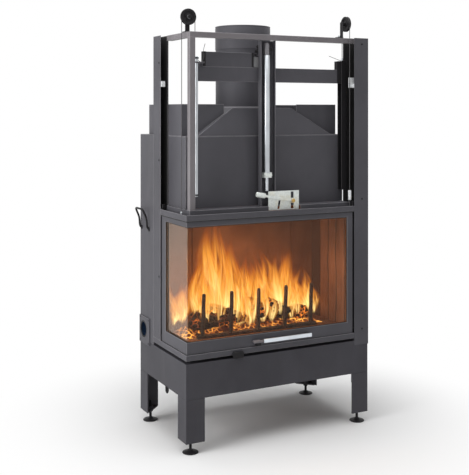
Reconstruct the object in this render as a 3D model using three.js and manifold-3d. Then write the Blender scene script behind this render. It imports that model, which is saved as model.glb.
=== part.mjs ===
// Corner fireplace insert with a lifting glazed door: a steel fire body on four legs, the frame that
// guides the door, its counterweight with pulleys and cables, and the flue damper with its lever.
// Millimetres. X runs right along the front from the glazed corner, Y runs back, Z up from the floor.
import * as THREE from "three";
import { mergeVertices } from "three/addons/utils/BufferGeometryUtils.js";
import Module from "manifold-3d";

const wasm = await Module();
wasm.setup();

// ---- driving dimensions -------------------------------------------------------------------------
const SHEET = 3; // steel sheet of casings, posts and panels
const FIT = 0.3; // gap between faces that touch
const RUNNING = 0.3; // radial clearance of turning and sliding fits
const WIDTH = 890; // base frame along X
const DEPTH = 504; // base frame along Y

const LEG_FLANGE = 84;
const LEG_THICK = 5;
const LEG_LAP = 40; // how far a leg's inner lap reaches up into the base frame and down in the leg
const LEG_BOTTOM = 47;
const LEG_BOSS = 15; // height of the block that holds a foot's thread
const FOOT_PLATE = 78; // a leg's foot plate, its free corner cut off slanting
const FOOT_PLATE_END = 14; // what the slanting cut leaves of its free edges
const APRON_BOTTOM = 225;
const APRON_HEIGHT = 144;
const SLOT_HEIGHT = 13; // air slot between base frame and sill
const SILL_HEIGHT = 23;
const SILL_SHELF = 35;

const FOOT_DISC_R = 33;
const FOOT_STEM_R = 6;
const FOOT_INSET = 34.5;
const FOOT_STEM_TOP = 88;
const FOOT_PAD_HEIGHT = 8;

const DOOR_FRONT = 5; // the door's face lies this far behind the sill's and the posts' faces
const DOOR_THICK = 22;
const DOOR_RETURN = 263; // the door's run along the left side
const DOOR_GAP = 2;
const DOOR_HEIGHT = 557;
const DOOR_BOTTOM_RAIL = 48;
const DOOR_TOP_RAIL = 42;
const DOOR_STILE_RIGHT = 29;
const DOOR_STILE_LEFT = 43;
const GLASS_THICK = 4;
const GLASS_LAP = 9; // how far the panes reach behind the frame's lip
const FRAME_LIP = 4;
const FRAME_WALL = 3; // flanges of the door frame's folded profile, open to the back
const RUNNER_ABOVE = 26; // the door's runners reach this far above it

const HANDLE_LENGTH = 235;
const HANDLE_LEFT = 350;
const HANDLE_BAR = 16;
const HANDLE_DEEP = 10;
const HANDLE_ABOVE = 13; // its lower edge above the door's
const HANDLE_REACH = 20; // in front of the sill's face
const HANDLE_MOUNT = 47;

const LIP_HEIGHT = 24;
const LIP_LAP = 18; // the lintel lip covers this much of the door
const FRAME_Y = 30; // front plane of the members behind the door
const LINTEL_HEIGHT = 39;
const MEMBER = 25; // square section of corner post and top rails
const MEMBER_RAIL = 23;
const MEMBER_ABOVE = 732; // top of the rails above the lintel

const POST_RIGHT_WIDTH = 75;
const POST_RIGHT_DEPTH = 92;
const POST_RIGHT_LAP = 20; // how far its foot reaches down into the base frame
const POST_LEFT_WIDTH = 79;

const BODY_X = 39;
const BODY_Y = 95;
const BODY_ABOVE = 302; // top of the fire body above the lintel
const UPPER_Y = 135;
const UPPER_HEIGHT = 134;
const UPPER_LEFT_WIDTH = 199;
const UPPER_RIGHT_WIDTH = 209;

const HOOD_HEIGHT = 118;
const HOOD_LEFT = 99;
const HOOD_LEFT_RUN = 176; // how far its left side leans in, and its right one
const HOOD_RIGHT_RUN = 190;
const HOOD_TOP_FRONT = 128;
const HOOD_CLEAR = 3; // between the hood and the casing plates that are cut to its slope
const FLUE_X = 418;
const FLUE_Y = 305;
const FLUE_R = 123;
const COLLAR_R = 125;
const COLLAR_HEIGHT = 104;

const PULLEY_R = 34;
const GROOVE_R = 28;
const PULLEY_WIDE = 12;
const PULLEY_ABOVE = 63; // a pulley's axle above the rails
const AXLE_R = 5;
const CABLE_R = 1.5;
const STRAIGHT_SHARE = 0.1; // of a cable's steps lie on each of its straight runs
const BRACKET_HALF = 10;
const BRACKET_THICK = 4;
const BRACKET_FOOT = 28;
const BRACKET_AWAY = 13; // the right bracket's plate stands this much further off its pulley

const WEIGHT_Y = 68.5;
const WEIGHT_THICK = 22;
const WEIGHT_BELOW = 201; // the counterweight's lower edge under the rails' top
const WEIGHT_HEIGHT = 61;
const WEIGHT_LEFT = 84;
const WEIGHT_BOX_LEFT = 111;
const WEIGHT_BOX_LENGTH = 235;
const WEIGHT_BOX_HEIGHT = 62;
const LUG_HEIGHT = 19; // the left lug above the bar
const LUG_RIGHT_HEIGHT = 38;
const LUG_LEFT_END = 108;
const LUG_RIGHT_WIDTH = 37;

const GUIDE_ROD_R = 6.2;
const GUIDE_ROD_X = 75.5;
const GUIDE_ROD_Y = 64;
const GUIDE_ARM = 6; // thickness of the rod's arms
const CHANNEL_WIDE = 27;

const CENTRE_POST_WIDTH = 72;
const CENTRE_POST_Y = 42;
const CENTRE_POST_DEEP = 25;
const TUBE_R = 14;
const TUBE_CLEAR = 0.5; // between the rod's tube and the back of the centre post
const THIN_ROD_R = 7.5;
const PLATE_LENGTH = 153;
const PLATE_HEIGHT = 81;
const PLATE_THICK = 2;
const SLOT_HALF = 7; // half the width of the control plate's upright slots
const SLOT_BRIDGE = 11; // half the height of the bridge between them
const SLANT_WIDTH = 10;
const LEVER_RISE = 10.4; // degrees above level at rest
const LEVER_BOLT_R = 5;
const LEVER_HALF = 5; // half of the blade's height
const LEVER_THICK = 4;
const LEVER_PIN = 125; // from the pivot to the pin that carries the rod
const GRIP_START = 139; // from the pivot to the grip
const GRIP_LENGTH = 45;
const GRIP_R = 11.5;
const GRIP_THICK = 13; // flattened, so that it passes between the door and the centre post
const SPINDLE_BELOW = 62; // the damper's spindle under the rails' top
const SPINDLE_R = 5;
const CRANK_R = 22;
const CRANK_ANGLE = 38.5; // degrees above level at rest

const INLET_R = 38;
const INLET_PLATE = 126;
const SPIGOT_WALL = 1.6;
const SPIGOT_DEEP = 28;
const SIDE_HANDLE_R = 4.5;
const SIDE_HANDLE_OUT = 30;
const SIDE_HANDLE_LENGTH = 88;
const SIDE_HANDLE_HEIGHT = 89;

const HEARTH_ABOVE = 25; // the hearth above the sill
const LINING_BELOW = 25; // the linings' top under the lintel's
const LINING_REAR_Y = 320;
const LINING_THICK = 10;
const REAR_LINING_THICK = 25;
const REAR_LINING_ABOVE = 120; // above the right lining's top
const BAFFLE_ABOVE = 60;
const BAFFLE_FRONT = 205;
const BAFFLE_THICK = 20;
const GRATE_X = 290;
const GRATE_LENGTH = 260;
const GRATE_Y = 185;
const GRATE_DEPTH = 110;
const GRATE_SEAT = 8; // width of the ledge that it lies on
const GRATE_THICK = 10;
const GRATE_SLOTS = 9;
const GRATE_SLOT = 10;
const ASH_PAN_DEEP = 60; // below the base frame's top
const ASH_PAN_UNDER = 12; // its rim under the grate
const ASH_PAN_LUG = 13;
const LUG_PLATE = 3;
const LOG_BARS = 5;
const LOG_PITCH = 134;
const LOG_BAR_R = 9.5;
const LOG_BAR_HEIGHT = 190;
const LOG_GUARD_Y = 130;
const LOG_RAIL_HALF = 12;
const LOG_RAIL_HEIGHT = 14;

const KNOB_X = 233;
const KNOB_HALF = 25;
const KNOB_HEIGHT = 20;
const STOP_HEIGHT = 45;

// ---- places worked out from them ----------------------------------------------------------------
const APRON_TOP = APRON_BOTTOM + APRON_HEIGHT;
const SILL_BOTTOM = APRON_TOP + SLOT_HEIGHT;
const SILL_TOP = SILL_BOTTOM + SILL_HEIGHT;
const HEARTH_TOP = SILL_TOP + HEARTH_ABOVE;
const DOOR_BOTTOM = SILL_TOP + DOOR_GAP;
const DOOR_TOP = DOOR_BOTTOM + DOOR_HEIGHT;
const RUNNER_TOP = DOOR_TOP + RUNNER_ABOVE;
const DOOR_REAR = DOOR_FRONT + DOOR_RETURN;
const DOOR_INNER = DOOR_FRONT + DOOR_THICK;
const GLASS_FACE = DOOR_FRONT + FRAME_LIP;
const LIP_BOTTOM = DOOR_TOP - LIP_LAP;
const LIP_TOP = LIP_BOTTOM + LIP_HEIGHT;
const LINTEL_TOP = DOOR_TOP + 21;
const MEMBER_TOP = LINTEL_TOP + MEMBER_ABOVE;
const RAIL_BOTTOM = MEMBER_TOP - MEMBER_RAIL;
const FRAME_IN = FRAME_Y + MEMBER;

const POST_RIGHT_OUT = WIDTH + 4;
const POST_RIGHT_X = POST_RIGHT_OUT - POST_RIGHT_WIDTH;
const POST_RIGHT_BOTTOM = APRON_TOP - POST_RIGHT_LAP;
const DOOR_RIGHT = POST_RIGHT_X - 7;
const POST_LEFT_Y = DOOR_REAR + 3;
const POST_LEFT_BACK = POST_LEFT_Y + POST_LEFT_WIDTH;
const POST_LEFT_DEEP = BODY_X - FIT;
const CASING_Y = POST_LEFT_BACK;

const BODY_RIGHT = POST_RIGHT_X - 11;
const BODY_BACK = DEPTH - 4;
const BODY_TOP = LINTEL_TOP + BODY_ABOVE;
const BODY_TOP_PLATE = BODY_TOP - SHEET;
const CASING_TOP = BODY_TOP + 1;
const LINING_RIGHT = BODY_RIGHT - SHEET - FIT;
const LINING_TOP = LINTEL_TOP - LINING_BELOW;
const UPPER_TOP = BODY_TOP + UPPER_HEIGHT;
const HOOD_TOP = BODY_TOP + HOOD_HEIGHT;
const HOOD_RIGHT = BODY_RIGHT - 50;
const HOOD_LOW = [HOOD_LEFT, HOOD_RIGHT, BODY_Y + 4, BODY_BACK - 15, BODY_TOP + FIT];
const HOOD_HIGH = [
  HOOD_LEFT + HOOD_LEFT_RUN, HOOD_RIGHT - HOOD_RIGHT_RUN, HOOD_TOP_FRONT, FLUE_Y + FLUE_R + 6, HOOD_TOP,
];

const PULLEY_Z = MEMBER_TOP + PULLEY_ABOVE;
const PULLEY_MID = FRAME_Y + MEMBER / 2; // pulleys stand over the middle of the rails
const CABLE_RUN = GROOVE_R + CABLE_R + 2 * FIT;
const CABLE_RIGHT_X = POST_RIGHT_X - 17;
const WEIGHT_LINE = PULLEY_MID + CABLE_RUN; // where the cables meet the counterweight, in Y
const WEIGHT_BOTTOM = MEMBER_TOP - WEIGHT_BELOW;
const WEIGHT_TOP = WEIGHT_BOTTOM + WEIGHT_HEIGHT;
const WEIGHT_RIGHT = POST_RIGHT_X - 7;
const LUG_TOP = WEIGHT_TOP + LUG_HEIGHT;
const LUG_RIGHT_TOP = WEIGHT_TOP + LUG_RIGHT_HEIGHT;
const GUIDE_BOTTOM = LINTEL_TOP + 53;
const GUIDE_TOP = MEMBER_TOP - 99;
// The door rises and the counterweight falls by this much, till the handle is under the lintel lip.
const TRAVEL = LIP_BOTTOM - 5 - (DOOR_BOTTOM + HANDLE_ABOVE + HANDLE_BAR);

const CENTRE_POST_X = FLUE_X - 50;
const SPINDLE_Z = MEMBER_TOP - SPINDLE_BELOW;
const COLLAR_BOTTOM = SPINDLE_Z + 13;
const FLUE_TOP = COLLAR_BOTTOM + COLLAR_HEIGHT;
const TUBE_X = FLUE_X - 18;
const TUBE_Y = CENTRE_POST_Y + CENTRE_POST_DEEP - SHEET - TUBE_CLEAR - TUBE_R;
const TUBE_BOTTOM = LINTEL_TOP + 142;
const TUBE_TOP = SPINDLE_Z - 25;
const THIN_ROD_BOTTOM = LINTEL_TOP + 65;
const PLATE_LEFT = TUBE_X + 2;
const PLATE_BOTTOM = LINTEL_TOP - 18;
const LEVER_PIVOT_X = TUBE_X + 121;
const LEVER_PIVOT_Z = LINTEL_TOP + 20;
const LEVER_FRONT = FRAME_Y + 2;

const INLET_Y = DEPTH - 49;
const INLET_Z = SILL_TOP + 12;
const SIDE_HANDLE_REAR = DEPTH - 16;
const SIDE_HANDLE_LOW = LINTEL_TOP - 117;
const LOG_BAR_TOP = HEARTH_TOP + LOG_BAR_HEIGHT;

// ---- colours ------------------------------------------------------------------------------------
const paint = (color, roughness, metalness) =>
  new THREE.MeshStandardMaterial({ color, roughness, metalness });
const CHARCOAL = paint(0x4c484c, 0.55, 0.4);
const RAIL_GREY = paint(0x6f6c6f, 0.5, 0.5);
const BLACK = paint(0x161618, 0.5, 0.3);
const BRIGHT = paint(0xc3c8cc, 0.3, 1);
const ZINC = paint(0xd6dad6, 0.4, 0.8);
const CAST = paint(0x2c2725, 0.8, 0.4);
const STONE = paint(0x7a5a45, 0.9, 0);
const PANE = new THREE.MeshStandardMaterial({ color: 0xd8c8b8, transparent: true, opacity: 0.3 });

// ---- geometry helpers ---------------------------------------------------------------------------
function solidOf(geometry) {
  const bare = geometry.index ? geometry.toNonIndexed() : geometry.clone();
  bare.deleteAttribute("normal");
  bare.deleteAttribute("uv");
  const merged = mergeVertices(bare, 1e-4);
  const mesh = new wasm.Mesh({
    numProp: 3,
    vertProperties: merged.attributes.position.array,
    triVerts: new Uint32Array(merged.index.array),
  });
  return new wasm.Manifold(mesh);
}

function geometryOf(solid) {
  const mesh = solid.getMesh();
  const geometry = new THREE.BufferGeometry();
  geometry.setAttribute("position", new THREE.BufferAttribute(mesh.vertProperties, 3));
  geometry.setIndex(new THREE.BufferAttribute(mesh.triVerts, 1));
  return geometry;
}

const join = (...shapes) =>
  geometryOf(shapes.map(solidOf).reduce((sum, next) => sum.add(next)));

const cut = (shape, ...tools) =>
  geometryOf(tools.map(solidOf).reduce((rest, tool) => rest.subtract(tool), solidOf(shape)));

function block(x0, x1, y0, y1, z0, z1) {
  const box = new THREE.BoxGeometry(x1 - x0, y1 - y0, z1 - z0);
  return box.translate((x0 + x1) / 2, (y0 + y1) / 2, (z0 + z1) / 2);
}

// A round bar between two points; with a second radius it tapers.
function bar(from, to, radius, endRadius = radius, sides = 24) {
  const start = new THREE.Vector3(...from);
  const way = new THREE.Vector3(...to).sub(start);
  const shape = new THREE.CylinderGeometry(endRadius, radius, way.length(), sides);
  const turn = new THREE.Quaternion().setFromUnitVectors(
    new THREE.Vector3(0, 1, 0),
    way.clone().normalize(),
  );
  const middle = start.addScaledVector(way, 0.5);
  return shape.applyQuaternion(turn).translate(middle.x, middle.y, middle.z);
}

// A tube of round section along a curve, closed at both ends.
function tube(curve, radius, steps, sides = 10) {
  const section = new THREE.Shape().absarc(0, 0, radius, 0, 2 * Math.PI);
  return new THREE.ExtrudeGeometry(section, {
    extrudePath: curve,
    steps,
    curveSegments: sides / 2, // for each half of the circle
    bevelEnabled: false,
  });
}

// A ring of revolution about Z from [radius, height] pairs, outer side upwards.
function turned(profile, sides = 48) {
  const points = profile.map(([r, z]) => new THREE.Vector2(r, z));
  return new THREE.LatheGeometry(points, sides).rotateX(Math.PI / 2);
}

// An L seen from above: a run along X and one along Y from the corner (x, y), both of one width.
function ell(x, y, endX, endY, wide, z0, z1) {
  const outline = new THREE.Shape([
    new THREE.Vector2(x, y), new THREE.Vector2(endX, y), new THREE.Vector2(endX, y + wide),
    new THREE.Vector2(x + wide, y + wide), new THREE.Vector2(x + wide, endY), new THREE.Vector2(x, endY),
  ]);
  return new THREE.ExtrudeGeometry(outline, { depth: z1 - z0, bevelEnabled: false }).translate(0, 0, z0);
}

// The solid between a lower and an upper rectangle, each [x0, x1, y0, y1, z].
function loft(lower, upper) {
  const corners = ([x0, x1, y0, y1, z]) => [x0, y0, z, x1, y0, z, x1, y1, z, x0, y1, z];
  const geometry = new THREE.BufferGeometry();
  const position = new Float32Array([...corners(lower), ...corners(upper)]);
  geometry.setAttribute("position", new THREE.BufferAttribute(position, 3));
  const faces = [0, 2, 1, 0, 3, 2, 4, 5, 6, 4, 6, 7];
  for (let i = 0; i < 4; i++) {
    const next = (i + 1) % 4;
    faces.push(i, next, next + 4, i, next + 4, i + 4);
  }
  geometry.setIndex(faces);
  return geometry;
}

const insert = new THREE.Group();

function add(name, geometry, material) {
  const mesh = new THREE.Mesh(geometry, material);
  mesh.name = name;
  insert.add(mesh);
  return mesh;
}

// ---- base: frame, legs and levelling feet -------------------------------------------------------
function baseFrame() {
  const outer = block(0, WIDTH, 0, DEPTH, APRON_BOTTOM, APRON_TOP);
  const inner = block(SHEET, WIDTH - SHEET, SHEET, DEPTH - SHEET, APRON_BOTTOM - 1, APRON_TOP - SHEET);
  const hole = block(50, WIDTH - 50, 50, DEPTH - 50, APRON_TOP - 2 * SHEET, APRON_TOP + 1);
  const postFoot = block(
    POST_RIGHT_X - FIT, WIDTH + 1, -1, POST_RIGHT_DEPTH + FIT, POST_RIGHT_BOTTOM - FIT, APRON_TOP + 1,
  );
  add("base_frame", cut(outer, inner, hole, postFoot), CHARCOAL);
}

// An angle leg with its flanges flush with the base frame, lapped inside it, and a foot plate.
function leg(name, x, y, toX, toY) {
  const span = (from, way, a, b) => [from + way * a, from + way * b].sort((p, q) => p - q);
  const piece = (ax, bx, ay, by, z0, z1) =>
    block(...span(x, toX, ax, bx), ...span(y, toY, ay, by), z0, z1);
  const lapIn = SHEET + FIT;
  const lapTop = APRON_BOTTOM + LEG_LAP;
  const lapBottom = APRON_BOTTOM - LEG_LAP;
  const boss = [FOOT_INSET - 10, FOOT_INSET + 10];
  const far = FOOT_PLATE;
  const near = FOOT_PLATE_END;
  const outline = new THREE.Shape([[1, 1], [far, 1], [far, near], [near, far], [1, far]].map(
    ([a, b]) => new THREE.Vector2(x + toX * a, y + toY * b),
  ));
  const footPlate = new THREE.ExtrudeGeometry(outline, { depth: LEG_THICK, bevelEnabled: false })
    .translate(0, 0, LEG_BOTTOM);
  const shape = join(
    piece(0, LEG_FLANGE, 0, LEG_THICK, LEG_BOTTOM, APRON_BOTTOM - FIT),
    piece(0, LEG_THICK, 0, LEG_FLANGE, LEG_BOTTOM, APRON_BOTTOM - FIT),
    piece(lapIn, LEG_FLANGE, lapIn, lapIn + LEG_THICK, lapBottom, lapTop),
    piece(lapIn, lapIn + LEG_THICK, lapIn, LEG_FLANGE, lapBottom, lapTop),
    footPlate,
    piece(...boss, ...boss, LEG_BOTTOM + 1, LEG_BOTTOM + LEG_BOSS),
  );
  const footX = x + toX * FOOT_INSET;
  const footY = y + toY * FOOT_INSET;
  const thread = bar(
    [footX, footY, LEG_BOTTOM - 1], [footX, footY, LEG_BOTTOM + LEG_BOSS + 1], FOOT_STEM_R + RUNNING,
  );
  add("leg_" + name, cut(shape, thread), CHARCOAL);
  levellingFoot(name, footX, footY);
}

function levellingFoot(name, x, y) {
  const neck = FOOT_STEM_R + 4;
  const shape = turned([
    [0, 0], [FOOT_DISC_R - 1, 0], [FOOT_DISC_R, 1.5], [FOOT_DISC_R - 2, 4],
    [neck + 4, FOOT_PAD_HEIGHT], [neck, FOOT_PAD_HEIGHT + 5], [FOOT_STEM_R, FOOT_PAD_HEIGHT + 7],
    [FOOT_STEM_R, FOOT_STEM_TOP - 1], [FOOT_STEM_R - 1, FOOT_STEM_TOP], [0, FOOT_STEM_TOP],
  ], 20);
  add("foot_" + name, shape, BLACK).position.set(x, y, 0);
}

// ---- fire body ----------------------------------------------------------------------------------
function hearth() {
  const slabTop = SILL_BOTTOM - FIT;
  const side = BODY_RIGHT - SHEET - FIT;
  const lower = block(FRAME_Y, WIDTH - FRAME_Y, FRAME_Y, DEPTH - 5, APRON_TOP + FIT, slabTop);
  const upper = block(BODY_X + 25, side, FRAME_Y + 32, BODY_BACK - SHEET - FIT, slabTop - 2, HEARTH_TOP);
  const postFoot = block(POST_RIGHT_X - FIT, WIDTH, 0, POST_RIGHT_DEPTH + FIT, 0, slabTop + 1);
  const casingFoot = block(0, BODY_X, CASING_Y, DEPTH, 0, slabTop + 1);
  const well = overGrate(0, 0, HEARTH_TOP + 1);
  const seat = overGrate(GRATE_SEAT, HEARTH_TOP - GRATE_THICK, HEARTH_TOP + 1);
  add("hearth_floor", cut(join(lower, upper), postFoot, casingFoot, well, seat), STONE);
}

// A block over the well of the grate, larger than it by `out` all round.
function overGrate(out, z0, z1) {
  return block(
    GRATE_X - out, GRATE_X + GRATE_LENGTH + out, GRATE_Y - out, GRATE_Y + GRATE_DEPTH + out, z0, z1,
  );
}

function grate() {
  const plate = overGrate(GRATE_SEAT - RUNNING, HEARTH_TOP - GRATE_THICK + FIT, HEARTH_TOP - 1);
  const pitch = GRATE_LENGTH / GRATE_SLOTS;
  const gaps = Array.from({ length: GRATE_SLOTS }, (_, i) => {
    const x = GRATE_X + pitch * (i + 0.5);
    const y = GRATE_Y + GRATE_SEAT;
    return block(x - GRATE_SLOT / 2, x + GRATE_SLOT / 2, y, y + GRATE_DEPTH - 2 * GRATE_SEAT, 0, HEARTH_TOP);
  });
  add("grate", cut(plate, ...gaps), CAST);
}

// The ash pan stands in the well and is held under the hearth's slab by a lug at each end.
function ashPan() {
  const rim = HEARTH_TOP - GRATE_THICK - ASH_PAN_UNDER;
  const bottom = APRON_TOP - ASH_PAN_DEEP;
  const lug = (x0, x1) => block(
    x0, x1, GRATE_Y + 20, GRATE_Y + GRATE_DEPTH - 20, APRON_TOP - LUG_PLATE, APRON_TOP,
  );
  const endX = GRATE_X + GRATE_LENGTH;
  add("ash_pan", cut(
    join(
      overGrate(-1, bottom, rim),
      lug(GRATE_X - ASH_PAN_LUG, GRATE_X + 2),
      lug(endX - 2, endX + ASH_PAN_LUG),
    ),
    overGrate(-3, bottom + 2, rim + 1),
  ), BLACK);
}

function bodyPanels() {
  const wallTop = BODY_TOP_PLATE - FIT;
  const floor = SILL_BOTTOM;
  const shelf = LINTEL_TOP + FIT;
  const rightIn = BODY_RIGHT - SHEET;
  const backIn = BODY_BACK - SHEET;
  const frontX = [BODY_X + SHEET + FIT, POST_RIGHT_X - FIT];
  add("body_front_panel", block(...frontX, BODY_Y, BODY_Y + SHEET, shelf, wallTop), CHARCOAL);
  add("body_left_panel", join(
    block(BODY_X, BODY_X + SHEET, BODY_Y, backIn - FIT, shelf, wallTop),
    block(BODY_X, BODY_X + SHEET, POST_LEFT_Y + 2, backIn - FIT, floor, wallTop),
  ), CHARCOAL);
  const rightY = BODY_Y + SHEET + FIT; // behind the front panel, which runs on to the right post
  add("body_right_panel", block(rightIn, BODY_RIGHT, rightY, BODY_BACK, floor, wallTop), CHARCOAL);
  add("body_rear_panel", block(BODY_X, rightIn - FIT, backIn, BODY_BACK, floor, wallTop), CHARCOAL);
  const top = block(BODY_X, BODY_RIGHT, BODY_Y, BODY_BACK, BODY_TOP_PLATE, BODY_TOP);
  const wayX = [BODY_X + 111, BODY_RIGHT - 108];
  const smokeWay = block(...wayX, 180, BODY_BACK - 60, BODY_TOP_PLATE - 1, BODY_TOP + 1);
  add("body_top_plate", cut(top, smokeWay), CHARCOAL);
}

function linings() {
  const floor = HEARTH_TOP + FIT;
  const left = BODY_X + SHEET + FIT;
  const frontY = FRAME_Y + SHEET + 1;
  const rearY = LINING_REAR_Y - FIT;
  const rearTop = LINING_TOP + REAR_LINING_ABOVE;
  add("lining_right", block(
    LINING_RIGHT - LINING_THICK, LINING_RIGHT, frontY, rearY, floor, LINING_TOP,
  ), STONE);
  add("lining_rear", block(
    left, LINING_RIGHT, LINING_REAR_Y, LINING_REAR_Y + REAR_LINING_THICK, floor, rearTop,
  ), STONE);
  const low = LINING_TOP + BAFFLE_ABOVE;
  add("smoke_baffle", block(
    left, BODY_RIGHT - SHEET - FIT, BAFFLE_FRONT, rearY, low, low + BAFFLE_THICK,
  ), STONE);
}

function logGuard() {
  const first = LOG_PITCH;
  const last = LOG_PITCH * LOG_BARS;
  const foot = HEARTH_TOP + FIT;
  const y = LOG_GUARD_Y;
  const bars = Array.from({ length: LOG_BARS }, (_, i) => {
    const x = first + LOG_PITCH * i;
    const lean = 5 - 2 * (i % 3);
    return bar([x, y, foot + 8], [x + lean, y - 4, LOG_BAR_TOP], LOG_BAR_R, LOG_BAR_R - 1, 16);
  });
  const rail = block(
    first - 25, last + 25, y - LOG_RAIL_HALF, y + LOG_RAIL_HALF, foot, foot + LOG_RAIL_HEIGHT,
  );
  add("log_guard", join(rail, ...bars), CAST);
}

// ---- left casing with air inlet and lifting handle ----------------------------------------------
function leftCasing() {
  const right = BODY_X - FIT;
  const outer = block(0, right, CASING_Y + FIT, DEPTH, APRON_TOP + FIT, CASING_TOP);
  const inner = block(
    SHEET, right - SHEET, CASING_Y + FIT + SHEET, DEPTH - SHEET, APRON_TOP, CASING_TOP - SHEET,
  );
  const hole = inletBar(-1, SHEET + 1, INLET_R + SPIGOT_WALL + 0.4);
  add("left_casing", cut(outer, inner, hole), CHARCOAL);
}

function inletBar(x0, x1, radius) {
  return bar([x0, INLET_Y, INLET_Z], [x1, INLET_Y, INLET_Z], radius, radius, 40);
}

// The inlet's plate lies on the casing; its spigot goes through the casing's wall.
function airInlet() {
  const half = INLET_PLATE / 2;
  const plate = block(-5, -FIT, INLET_Y - half - 4, DEPTH, INLET_Z - half, INLET_Z + half - 6);
  const spigot = inletBar(-1, SPIGOT_DEEP, INLET_R + SPIGOT_WALL);
  add("air_inlet", cut(join(plate, spigot), inletBar(-6, SPIGOT_DEEP + 1, INLET_R)), CHARCOAL);
}

// Two legs rise off the casing, lean out and meet in the grip.
function sideHandle() {
  const rear = SIDE_HANDLE_REAR;
  const front = rear - SIDE_HANDLE_LENGTH;
  const low = SIDE_HANDLE_LOW;
  const high = low + SIDE_HANDLE_HEIGHT;
  const out = SIDE_HANDLE_OUT;
  const leg = (y, inward) => [
    new THREE.Vector3(-FIT, y, low),
    new THREE.Vector3(-9, y, low + 12),
    new THREE.Vector3(-13, y, low + 47),
    new THREE.Vector3(-out + 3, y, high - 9),
    new THREE.Vector3(-out, y + inward * 8, high),
  ];
  const points = [...leg(front, 1), ...leg(rear, -1).reverse()];
  const path = new THREE.CatmullRomCurve3(points, false, "centripetal");
  const trim = block(-FIT, 20, front - 20, rear + 20, low - 28, high + 33);
  add("side_handle", cut(tube(path, SIDE_HANDLE_R, 36, 8), trim), BLACK);
}

// ---- sill, lintel and the frame that guides the door --------------------------------------------
function sill() {
  const backY = CASING_Y - FIT;
  const right = POST_RIGHT_X - FIT;
  add("sill", join(
    ell(0, 0, right, backY, SHEET, SILL_BOTTOM, SILL_TOP),
    ell(0, 0, right, backY, BODY_X - FIT, SILL_BOTTOM, SILL_BOTTOM + SHEET),
    ell(0, 0, right, backY, SILL_SHELF, SILL_TOP - SHEET, SILL_TOP),
  ), CHARCOAL);
}

function lintel() {
  const right = POST_RIGHT_X - FIT;
  const endY = POST_LEFT_Y - FIT;
  add("lintel_lip", ell(0, 0, right, endY, SHEET, LIP_BOTTOM, LIP_TOP), CHARCOAL);
  const low = LINTEL_TOP - LINTEL_HEIGHT;
  const shelfLow = LINTEL_TOP - SHEET;
  const shape = join(
    ell(FRAME_Y, FRAME_Y, right, endY, SHEET, low, LINTEL_TOP),
    block(FRAME_Y, right, FRAME_Y, BODY_Y + SHEET, shelfLow, LINTEL_TOP),
    block(FRAME_Y, BODY_X + 8, FRAME_Y, endY, shelfLow, LINTEL_TOP),
  );
  const notch = [PLATE_LEFT - 3, PLATE_LEFT + PLATE_LENGTH + 3, FRAME_Y - 1, CENTRE_POST_Y];
  add("lintel_frame", cut(shape, block(...notch, PLATE_BOTTOM - 1, LINTEL_TOP + 1)), CHARCOAL);
}

function posts() {
  const right = POST_RIGHT_X;
  const out = POST_RIGHT_OUT;
  add("right_post", join(
    block(right, out, 0, SHEET, POST_RIGHT_BOTTOM, MEMBER_TOP),
    block(out - SHEET, out, 0, POST_RIGHT_DEPTH, POST_RIGHT_BOTTOM, MEMBER_TOP),
    block(right, out, POST_RIGHT_DEPTH - SHEET, POST_RIGHT_DEPTH, POST_RIGHT_BOTTOM, MEMBER_TOP),
  ), CHARCOAL);
  const low = SILL_TOP + FIT;
  add("left_post", join(
    block(0, SHEET, POST_LEFT_Y, POST_LEFT_BACK, low, MEMBER_TOP),
    block(0, POST_LEFT_DEEP, POST_LEFT_BACK - SHEET, POST_LEFT_BACK, low, MEMBER_TOP),
    block(POST_LEFT_DEEP - SHEET, POST_LEFT_DEEP, POST_LEFT_Y, POST_LEFT_BACK, low, MEMBER_TOP),
  ), CHARCOAL);
  const foot = LINTEL_TOP + FIT;
  add("corner_post", block(FRAME_Y, FRAME_IN, FRAME_Y, FRAME_IN, foot, RAIL_BOTTOM - FIT), RAIL_GREY);
  const cx = CENTRE_POST_X;
  const cr = cx + CENTRE_POST_WIDTH;
  const cy = CENTRE_POST_Y;
  const back = cy + CENTRE_POST_DEEP;
  const channel = join(
    block(cx, cx + SHEET, cy, back, foot, RAIL_BOTTOM - FIT),
    block(cr - SHEET, cr, cy, back, foot, RAIL_BOTTOM - FIT),
    block(cx, cr, back - SHEET, back, foot, RAIL_BOTTOM - FIT),
  );
  const bearing = bar([FLUE_X, cy, SPINDLE_Z], [FLUE_X, back + 1, SPINDLE_Z], SPINDLE_R + RUNNING);
  add("centre_post", cut(channel, bearing), CHARCOAL);
}

function topRails() {
  const endX = POST_RIGHT_OUT - SHEET - FIT; // inside the right post
  const endY = POST_LEFT_Y - FIT;
  add("top_rail_front", block(FRAME_Y, endX, FRAME_Y, FRAME_IN, RAIL_BOTTOM, MEMBER_TOP), RAIL_GREY);
  add("top_rail_left", block(
    FRAME_Y, FRAME_IN, FRAME_IN + FIT, endY, RAIL_BOTTOM, MEMBER_TOP,
  ), RAIL_GREY);
}

// Clips on the posts that the runners meet when the door is fully up.
function doorStops() {
  const low = RUNNER_TOP + TRAVEL + 1;
  const wall = SHEET + FIT;
  add("door_stop_left", join(
    block(wall, 24, POST_LEFT_Y + 4, POST_LEFT_Y + 22, low, low + 14),
    block(wall, 20, POST_LEFT_Y - 6, POST_LEFT_Y + 8, low, low + 24),
  ), BRIGHT);
  const right = POST_RIGHT_X;
  add("door_stop_right", join(
    block(right - 16, right + 18, DOOR_INNER - 6, DOOR_INNER - 3, low, low + STOP_HEIGHT),
    block(right + 2, right + 18, wall, DOOR_INNER - 3, low, low + 17),
  ), BRIGHT);
}

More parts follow.
